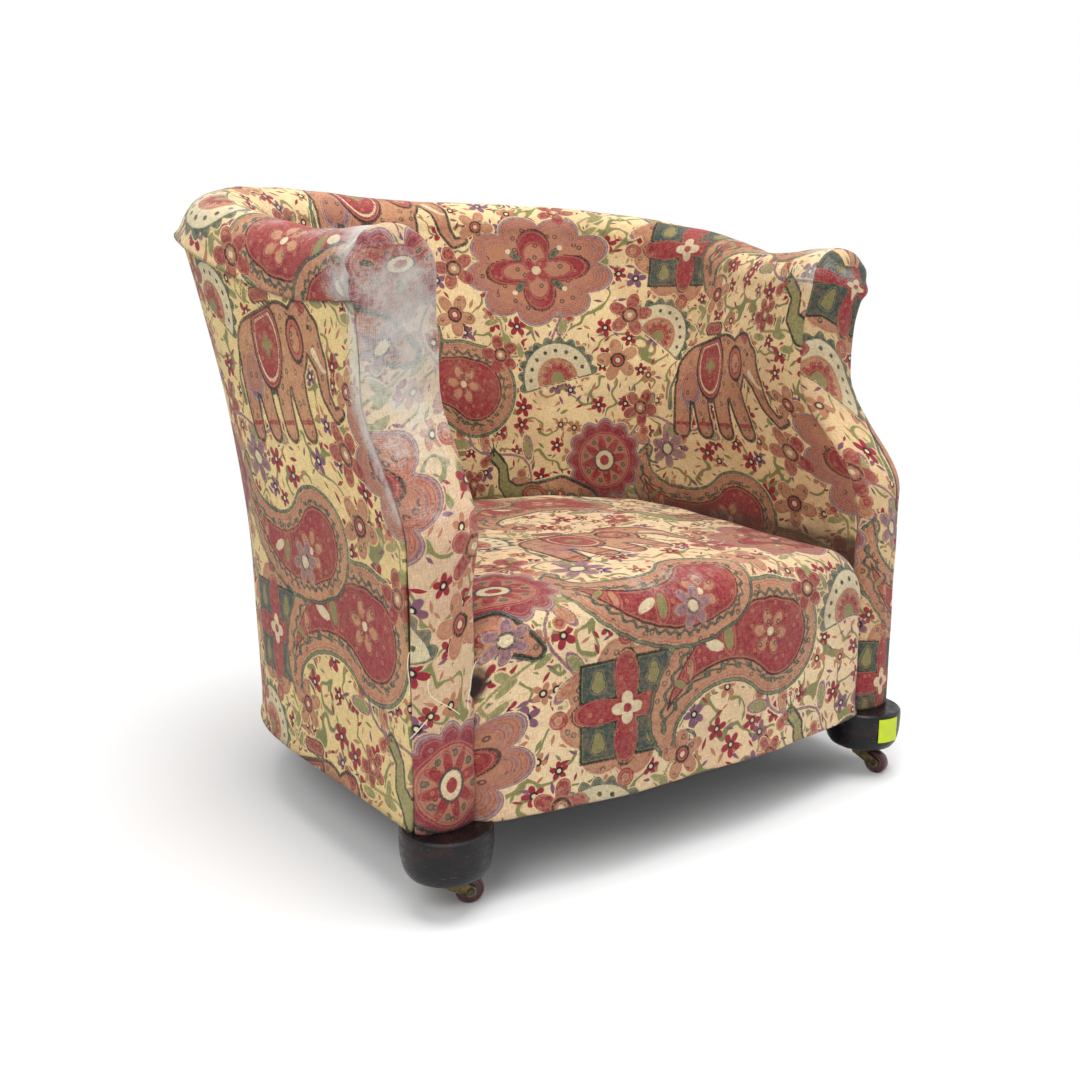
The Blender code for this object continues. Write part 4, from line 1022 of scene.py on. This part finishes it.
def facing_section(q):
    """Heights and roll angles of the outer and the inner edge, for q from the hem to the top."""
    low = -CREASE_ANGLE_FRONT
    crease_z = roll_point(0.0, low)[1]
    centre_z = roll_centre(0.0)[1]
    climb = np.clip(q / FACING_FLAT_SHARE, 0, 1)
    turn = np.clip((q - FACING_FLAT_SHARE) / (1 - FACING_FLAT_SHARE), 0, 1)
    outer_z, inner_z = HEM_Z + (crease_z - HEM_Z) * climb, HEM_Z + (centre_z - HEM_Z) * climb
    outer_angle, inner_angle = low + (math.pi / 2 - low) * turn, math.pi - math.pi / 2 * turn
    return outer_z, inner_z, outer_angle, inner_angle, q > FACING_FLAT_SHARE


def facing_place(side):
    def place(p, q):
        outer_z, inner_z, outer_angle, inner_angle, on_roll = facing_section(q)
        rim = FACING_RIM_SHARE
        outer_half = p < 0.5
        edge = np.clip(np.where(outer_half, p, 1 - p) / rim, 0, 1) * math.pi / 2
        nose = (outer_z - NOSE_SWELL_Z) / NOSE_SWELL_HEIGHT
        grow = blend(FACING_ROUND, NOSE_ROUND, nose)
        inset, forward = grow * (1 - np.cos(edge)), blend(FACING_ROUND, NOSE_REACH, nose) * np.sin(edge)
        roll_u, roll_z = roll_point(0.0, np.where(outer_half, outer_angle, inner_angle), inset)
        flat_u = np.where(outer_half, outer_u(0.0, outer_z) - inset, inner_u(0.0, inner_z) + inset)
        flat_z = np.where(outer_half, outer_z, inner_z)
        u, z = np.where(on_roll, roll_u, flat_u), np.where(on_roll, roll_z, flat_z)
        outer_end = roll_or_flat(on_roll, outer_angle, outer_z, grow, outer=True)
        inner_end = roll_or_flat(on_roll, inner_angle, inner_z, grow, outer=False)
        across = np.clip((p - rim) / (1 - 2 * rim), 0, 1)
        middle = (p > rim) & (p < 1 - rim)
        u = np.where(middle, outer_end[0] * (1 - across) + inner_end[0] * across, u)
        z = np.where(middle, outer_end[1] * (1 - across) + inner_end[1] * across, z)
        crown = FACING_CROWN * np.sin(math.pi * across) * np.clip((1 - q) / 0.16, 0, 1) * middle
        return wall_place(np.full(p.shape, float(side)), u, z, forward + crown)

    return place


def roll_or_flat(on_roll, angle, z, inset, outer):
    """u and z of the edge, on the roll or below it."""
    roll_u, roll_z = roll_point(0.0, angle, inset)
    flat_u = outer_u(0.0, z) - inset if outer else inner_u(0.0, z) + inset
    return np.where(on_roll, roll_u, flat_u), np.where(on_roll, roll_z, z)


def make_facing(word, side, surface):
    def height(p, q):
        z = HEM_Z + 0.57 * q
        angle = facing_section(q)[2]
        low = crease_angle(0.0)
        from_crease = INSIDE_ROLL_SHARE * (angle + low) / (math.pi + low)
        folds = GATHER_HEIGHT * np.sin(angle * GATHERS) * gather_reach(from_crease) * (q > FACING_FLAT_SHARE)
        lumps = 0.0009 * ripple(p * 0.07, z, 0.10, 4 + side)
        gathers = 0.0018 * np.sin(26 * p + 9 * q) * bump_at(q, 0.86, 0.06) * bump_at(p, 0.0, 0.45)
        groove = 0.0022 * bump_at(p, 0.0, 0.02) * (q < 0.82)
        return lumps + gathers + folds * bump_at(p, 0.0, 0.16) - groove

    place = raised(facing_place(side), height)
    made, p, q = bent_grid(f"arm_front_{word}", 34, 210, place, lambda centre: Vector((0, -1, 0)))
    z = HEM_Z + 0.60 * q
    width = 0.085 * (p - 0.5) * (1 if side < 0 else -1)
    edge = 1 - np.abs(2 * p - 1)
    wear = front_wear(float(side), z, 0.55 + 0.25 * edge) + 0.12 * bump_at(z, 0.2, 0.1)
    # Painted shade: darker along the hem, and on the right arm front a band beside the seat
    painted_shade = 0.45 * np.exp(-q / 0.02) + 0.25 * (side > 0) * bump_at(z, 0.33, 0.05)
    shift = (0.412, 0.154) if side < 0 else (0.05, 0.22)
    finish_cloth(made, width, z, shift, wear, painted_shade, surface, 0.003)
    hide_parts(f"facing_{word}")


# The seat


def seat_side():
    """x and y of the line where the seat meets the wall, from the arm front to the middle of the back."""
    a = 0.04 + 0.94 * np.linspace(0, 1, 200)
    z = np.full(a.shape, 0.30)
    point = wall_place(1 - a, inner_u(a, z) - 0.001, z)
    return point[..., 0], point[..., 1]


SEAT_X, SEAT_Y = seat_side()


def apron_line(x):
    return APRON_Y + APRON_BOW * np.clip(np.abs(x) / SEAT_HALF_WIDTH, 0, 1) ** 2.5


def rounding(value, start, width):
    """Quarter round drop, from 0 at start to 1 after this width."""
    return 1 - np.sqrt(1 - np.clip((value - start) / width, 0, 1) ** 2)


def seat_place(p, q):
    """q runs from the back over the seat, round the front edge and down the apron."""
    w = (2 * p - 1) * (1 + SEAT_OVERLAP)
    inner_w = np.clip(w, -1, 1)
    side = np.abs(inner_w)
    past_side = np.clip(np.abs(w) - 1, 0, 1)
    depth = 1 - np.clip(q / SEAT_TOP_SHARE, 0, 1)
    turn = np.clip((q - SEAT_TOP_SHARE) / SEAT_ROUND_SHARE, 0, 1) * math.pi / 2
    down = np.clip((q - SEAT_TOP_SHARE - SEAT_ROUND_SHARE) / (1 - SEAT_TOP_SHARE - SEAT_ROUND_SHARE), 0, 1)
    rear_y, front_y = SEAT_Y[-1], SEAT_Y[0]
    half = np.interp(depth, (SEAT_Y - front_y) / (rear_y - front_y), SEAT_X)
    bulge = SEAT_FRONT_BULGE * ease((side - 0.8) / 0.2) * ease((0.25 - depth) / 0.2)
    x = inner_w * half + np.sign(inner_w) * bulge
    start = apron_line(inner_w * APRON_HALF_WIDTH) + SEAT_FRONT_ROUND
    crown = SEAT_CROWN * (1 - side**2.5) * np.sin(math.pi * (0.3 + 0.65 * depth))
    sag = SEAT_SAG * np.exp(-((inner_w / 0.5) ** 2) - ((depth - 0.45) / 0.25) ** 2)
    tuck = SEAT_TUCK * past_side / SEAT_OVERLAP
    z = SEAT_EDGE_FRONT_Z + SEAT_CLIMB * depth + crown - sag
    z = z - SEAT_SIDE_ROUND * rounding(side, 0.82, 0.18) - SEAT_BACK_ROUND * rounding(depth, 0.93, 0.07)
    z = z - tuck * np.cos(turn)
    z = z - (SEAT_FRONT_ROUND * (1 - np.cos(turn))) * (1 - past_side / SEAT_OVERLAP)
    reach = SEAT_FRONT_ROUND - SEAT_CORNER_ROUND * rounding(side, 0.91, 0.09)
    y = start + (rear_y - start) * depth
    y = y - reach * np.sin(turn) + tuck * np.sin(turn)
    return np.stack([x, y, z + (HEM_Z - z) * down], axis=-1)


def seat_height(p, q):
    """Lumps, the hem, the pinched cloth at the tear and small folds below it."""
    w = (2 * p - 1) * (1 + SEAT_OVERLAP)
    along = q * 0.8
    lumps = 0.0022 * ripple(w * 0.27, along, 0.17, 6) + 0.0008 * ripple(w * 0.27, along, 0.07, 2)
    edge = np.clip((1 - np.abs(w)) / 0.12, 0, 1)
    hem = -0.003 * np.exp(-(1 - q) / 0.008)
    pinch = -PINCH_DEPTH * bump_at(w, -1.0, 0.035) * bump_at(q, TEAR_ALONG, 0.035)
    folds = 0.0016 * np.sin(q * 150) * np.exp(-(np.abs(w + 1) / 0.10)) * bump_at(q, 0.78, 0.09)
    return lumps * edge + hem + pinch + folds


def make_seat(surface):
    place = raised(seat_place, seat_height)
    made, p, q = bent_grid("seat_and_apron", 250, 330, place, lambda centre: Vector((0, -0.5, 1)))
    places, lengths = arc_table(lambda t: seat_place(0.5 + 0 * t, t))
    length = lengths[-1] - np.interp(q, places, lengths)
    w = (2 * p - 1) * (1 + SEAT_OVERLAP)
    wear = 0.35 * bump_at(q, 0.60, 0.05) * np.exp(-((w + 0.1) ** 2) / 0.3)
    # Painted shade: darker where the seat tucks in at the sides and the back and along the apron's hem, and
    # deep enough inside the tear to turn near-black
    side_shade = np.exp(-(1.03 - np.abs(w)) / 0.025) * 0.7
    tear_opening_shade = 3.0 * bump_at(w, TEAR_ACROSS, 0.030) * bump_at(q, TEAR_ALONG, 0.028)
    painted_shade = side_shade + 0.8 * np.exp(-q / 0.02) + 0.4 * np.exp(-(1 - q) / 0.02) + tear_opening_shade
    finish_cloth(made, w * SEAT_HALF_WIDTH, length, (0.155, 0.24), wear, painted_shade, surface, 0.004)
    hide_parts("seat_cover", "seat_stuffing")


# Feet, casters and the plain materials

GRAIN_DEPTH = 0.0006


def plain_material(name, light, dark, roughness, scale, stretch=(1, 1, 1), metallic=0.0, bump=0.2):
    n = Nodes(name)
    grain = n.noise(scale, 5, 0.6, stretch)
    patches = n.noise(scale * 0.23, 3, 0.6)
    colour = n.mix(n.span(grain, 0.3, 0.7), linear(dark), linear(light))
    colour = n.mix(n.span(patches, 0.4, 0.75, 0.0, 0.35), colour, linear(dark))
    n.put(n.shader.inputs["Base Color"], colour)
    n.put(n.shader.inputs["Roughness"], n.span(grain, 0.2, 0.8, roughness - 0.1, roughness + 0.1))
    n.fix(Metallic=metallic)
    n.bump(grain, bump, GRAIN_DEPTH)
    return n.material


def foot_polish():
    """Nearly black polish, rubbed red-brown and scuffed grey."""
    n = Nodes("scuffed_dark_polish")
    rubbed = n.noise(26, 5, 0.65, (1, 1, 2.2))
    colour = n.mix(n.span(rubbed, 0.50, 0.72, 0.0, 0.8), linear("0E0B0D"), linear("32191A"))
    scuffs = n.noise(95, 4, 0.7, (1, 1, 3.5))
    colour = n.mix(n.span(scuffs, 0.62, 0.75, 0.0, 0.6), colour, linear("7A6860"))
    n.put(n.shader.inputs["Base Color"], colour)
    n.put(n.shader.inputs["Roughness"], n.span(scuffs, 0.35, 0.7, 0.24, 0.55))
    n.fix(Specular_IOR_Level=0.28)
    n.bump(scuffs, 0.3, GRAIN_DEPTH)
    return n.material


# Slot in the record: name, light and dark colour, roughness, scale and stretch of the grain, metal, bump
PLAIN_FINISHES = {
    "beech": ("sawn_beech", "B98E62", "8A6340", 0.7, 30, (1, 1, 7)),
    "jute": ("coarse_jute", "A98C5F", "7C6340", 0.95, 420, (1, 1, 1), 0.0, 0.5),
    "fibre": ("matted_fibre", "97805F", "5F4C36", 0.98, 160, (1, 2, 1), 0.0, 0.6),
    "black_cotton": ("black_dust_cloth", "2B2A2A", "191818", 0.95, 520),
    "dull_brass": ("tarnished_brass", "7F7048", "3E3523", 0.48, 130, (1, 1, 1), 0.85),
    "dark_steel": ("dark_steel", "5D5853", "35312E", 0.42, 160, (1, 1, 1), 1.0),
    "brown_wheel": ("red_brown_wheel", "5A3335", "371F20", 0.36, 90),
    "sticker_paper": ("yellow_green_paper", "C3D51A", "B4C81A", 0.6, 60, (1, 1, 1), 0.0, 0.1),
}


def dress_frame():
    """Gives every solid outside the printed cloth its finish."""
    made = {slot: plain_material(*finish) for slot, finish in PLAIN_FINISHES.items()}
    made["stained_wood"] = foot_polish()
    for part in frame["record"]["subparts"]:
        node = frame["nodes"][part["node"]]
        if part["material_slot"] in made:
            node.data.materials.clear()
            node.data.materials.append(made[part["material_slot"]])
    return made


def turned_piece(name, profile, centre, surface, body, axis=(0, 0, 1), steps=64):
    """Spins a profile of (radius, height) round an axis through centre."""
    bm = bmesh.new()
    verts = [bm.verts.new((radius, 0, height)) for radius, height in profile]
    edges = [bm.edges.new(pair) for pair in zip(verts, verts[1:])]
    bmesh.ops.spin(
        bm, geom=verts + edges, axis=(0, 0, 1), cent=(0, 0, 0), angle=2 * math.pi, steps=steps, use_merge=True
    )
    bmesh.ops.remove_doubles(bm, verts=bm.verts, dist=1e-5)
    bmesh.ops.recalc_face_normals(bm, faces=bm.faces)
    turn = Vector((0, 0, 1)).rotation_difference(Vector(axis)).to_matrix().to_4x4()
    bmesh.ops.transform(bm, matrix=Matrix.Translation(centre) @ turn, verts=bm.verts)
    mesh = bpy.data.meshes.new(name)
    bm.to_mesh(mesh)
    bm.free()
    mesh.shade_smooth()
    mesh.set_sharp_from_angle(angle=math.radians(38))
    mesh.materials.append(surface)
    made = add_object(name, mesh)
    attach(made, body)
    return made


def centre_of(node):
    low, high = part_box(node)
    return [(low[k] + high[k]) / 2 for k in range(3)]


# Radius and height of the turned foot, from the top down
FOOT_PROFILE = (
    (0.0, 0.0856), (0.0440, 0.0856), (0.0462, 0.0835), (0.0467, 0.0780), (0.0466, 0.0680),
    (0.0458, 0.0580), (0.0444, 0.0500), (0.0424, 0.0435), (0.0388, 0.0382), (0.0330, 0.0352),
    (0.0260, 0.0338), (0.0, 0.0337),
)
WHEEL_HALF_WIDTH = 0.0055
WHEEL_RADIUS = 0.0145
WHEEL_STEPS = 48
# Radius of the wheel's steps, and how far each lies inside its side face
WHEEL_PROFILE = (
    (0.0027, 0.0), (0.0085, 0.0), (0.0092, 0.0008), (0.0118, 0.0008), (0.0126, 0.0), (0.0134, 0.0004),
    (WHEEL_RADIUS, 0.0020),
)


def feet_and_wheels(finishes):
    tread = [(radius, WHEEL_HALF_WIDTH - inset) for radius, inset in WHEEL_PROFILE]
    tread += [(radius, -height) for radius, height in tread[::-1]]
    tread.append(tread[0])
    for corner in ("front_left", "front_right", "back_left", "back_right"):
        x, y, _ = centre_of(f"foot_{corner}")
        made = turned_piece(
            f"turned_foot_{corner}", FOOT_PROFILE, (x, y, 0), finishes["stained_wood"],
            "armchair",
        )
        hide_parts(f"foot_{corner}")
        joint = next(j for j in frame["joints"] if j["name"] == f"roll_{corner}")
        wheel = turned_piece(
            f"wheel_tread_{corner}", tread, centre_of(f"caster_wheel_{corner}"), finishes["brown_wheel"],
            f"wheel_{corner}", joint["axis"], WHEEL_STEPS,
        )
        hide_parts(f"caster_wheel_{corner}")


THREAD_RADIUS = 0.00045
THREADS_X = -0.282
THREADS_Y = -0.331
# Each thread as points: distance from THREADS_X, and height
THREADS = (
    ((-0.050, 0.243), (-0.055, 0.232), (-0.044, 0.220), (-0.030, 0.213), (-0.018, 0.202)),
    ((-0.070, 0.272), (-0.077, 0.258), (-0.068, 0.246), (-0.073, 0.232)),
    ((-0.072, 0.190), (-0.066, 0.196), (-0.060, 0.199), (-0.055, 0.206)),
    ((-0.001, 0.252), (-0.010, 0.240), (-0.005, 0.228), (-0.014, 0.216), (-0.010, 0.206)),
)


def loose_threads(surface):
    """Loose cream threads by the torn joint of the seat and the left arm front."""
    curve = bpy.data.curves.new("loose_threads", "CURVE")
    curve.dimensions = "3D"
    curve.bevel_depth = THREAD_RADIUS
    curve.bevel_resolution = 1
    curve.use_fill_caps = True
    for k, strand in enumerate(THREADS):
        spline = curve.splines.new("NURBS")
        spline.points.add(len(strand) - 1)
        for i, (point, (dx, z)) in enumerate(zip(spline.points, strand)):
            point.co = (THREADS_X + dx, THREADS_Y - 0.003 * (i % 2) - 0.001 * k, z, 1)
        spline.use_endpoint_u = True
        spline.order_u = 4
    made = add_object("loose_threads", curve)
    curve.materials.append(surface)
    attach(made, "armchair")


# Stage, lamps and camera

FLOOR_HALF_SIZE = 6
FLOOR_COLOUR = (0.93, 0.93, 0.93, 1)
# Distances from the middle between which the floor turns white for the camera
FLOOR_FADE = (0.45, 1.15)
WORLD_LIGHT = 0.50
# Name, place, target, size and power in watts
LAMPS = (
    ("key", (-2.25, -1.6, 2.5), (0, 0, 0.35), 1.6, 40),
    ("fill", (2.4, -1.6, 1.6), (0, 0, 0.35), 2.0, 12),
    ("top", (0.1, -0.2, 2.6), (0, 0, 0.3), 2.0, 66),
)
CAMERA_PLACE = (-0.7885, -1.185, 0.56)
CAMERA_TURN = (math.radians(79.02), 0, math.radians(-34.19))
CAMERA_LENS = 36.4


def stage():
    """Pale floor under the chair. Further out the camera sees it as plain white."""
    bm = bmesh.new()
    bmesh.ops.create_grid(bm, x_segments=1, y_segments=1, size=FLOOR_HALF_SIZE)
    mesh = bpy.data.meshes.new("floor")
    bm.to_mesh(mesh)
    bm.free()
    n = Nodes("pale_floor")
    n.fix(Base_Color=FLOOR_COLOUR, Roughness=0.9)
    white = n.add("ShaderNodeEmission")
    path = n.add("ShaderNodeLightPath")
    seen = n.math("MAXIMUM", path.outputs["Is Camera Ray"], path.outputs["Is Glossy Ray"])
    distance = n.add("ShaderNodeVectorMath", operation="LENGTH")
    n.link(n.add("ShaderNodeTexCoord").outputs["Object"], distance.inputs[0])
    far = n.span(distance.outputs["Value"], *FLOOR_FADE)
    mix = n.add("ShaderNodeMixShader")
    n.link(n.math("MULTIPLY", seen, far), mix.inputs[0])
    n.link(n.shader.outputs[0], mix.inputs[1])
    n.link(white.outputs[0], mix.inputs[2])
    n.link(mix.outputs[0], n.tree.nodes["Material Output"].inputs["Surface"])
    mesh.materials.append(n.material)
    floor = add_object("floor", mesh)


def world():
    """White for the camera, and an even grey light on the chair."""
    made = bpy.data.worlds.new("studio")
    bpy.context.scene.world = made
    made.use_nodes = True
    tree = made.node_tree
    tree.nodes.clear()
    path = tree.nodes.new("ShaderNodeLightPath")
    seen = tree.nodes.new("ShaderNodeMath")
    seen.operation = "MAXIMUM"
    tree.links.new(path.outputs["Is Camera Ray"], seen.inputs[0])
    tree.links.new(path.outputs["Is Glossy Ray"], seen.inputs[1])
    mix = tree.nodes.new("ShaderNodeMixShader")
    tree.links.new(seen.outputs[0], mix.inputs[0])
    for socket, strength in ((mix.inputs[1], WORLD_LIGHT), (mix.inputs[2], 1.0)):
        background = tree.nodes.new("ShaderNodeBackground")
        background.inputs["Color"].default_value = (1, 1, 1, 1)
        background.inputs["Strength"].default_value = strength
        tree.links.new(background.outputs[0], socket)
    out = tree.nodes.new("ShaderNodeOutputWorld")
    tree.links.new(mix.outputs[0], out.inputs["Surface"])


def lamp(name, place, target, size, power):
    light = bpy.data.lights.new(name, "AREA")
    light.shape = "SQUARE"
    light.size = size
    light.energy = power
    made = add_object(name, light)
    made.location = place
    made.rotation_euler = (Vector(target) - Vector(place)).to_track_quat("-Z", "Y").to_euler()


def camera():
    lens = bpy.data.cameras.new("photo_view")
    lens.sensor_width = 36
    lens.lens = CAMERA_LENS
    made = add_object("photo_view", lens)
    made.location = CAMERA_PLACE
    made.rotation_euler = CAMERA_TURN
    bpy.context.scene.camera = made


def main():
    finishes = dress_frame()
    surfaces = {name: printed_cloth(name, *grounds) for name, grounds in PRINT_GROUNDS.items()}
    make_inside(surfaces["inside_print"])
    make_outside(surfaces["outside_print"])
    make_facing("left", -1, surfaces["left_front_print"])
    make_facing("right", 1, surfaces["right_front_print"])
    make_seat(surfaces["seat_print"])
    feet_and_wheels(finishes)
    loose_threads(plain_material("cream_thread", "E6DEC8", "CFC4A8", 0.9, 300))
    stage()
    world()
    for name, *settings in LAMPS:
        lamp(name, *settings)
    camera()
    bpy.context.scene.view_settings.view_transform = "Standard"


main()
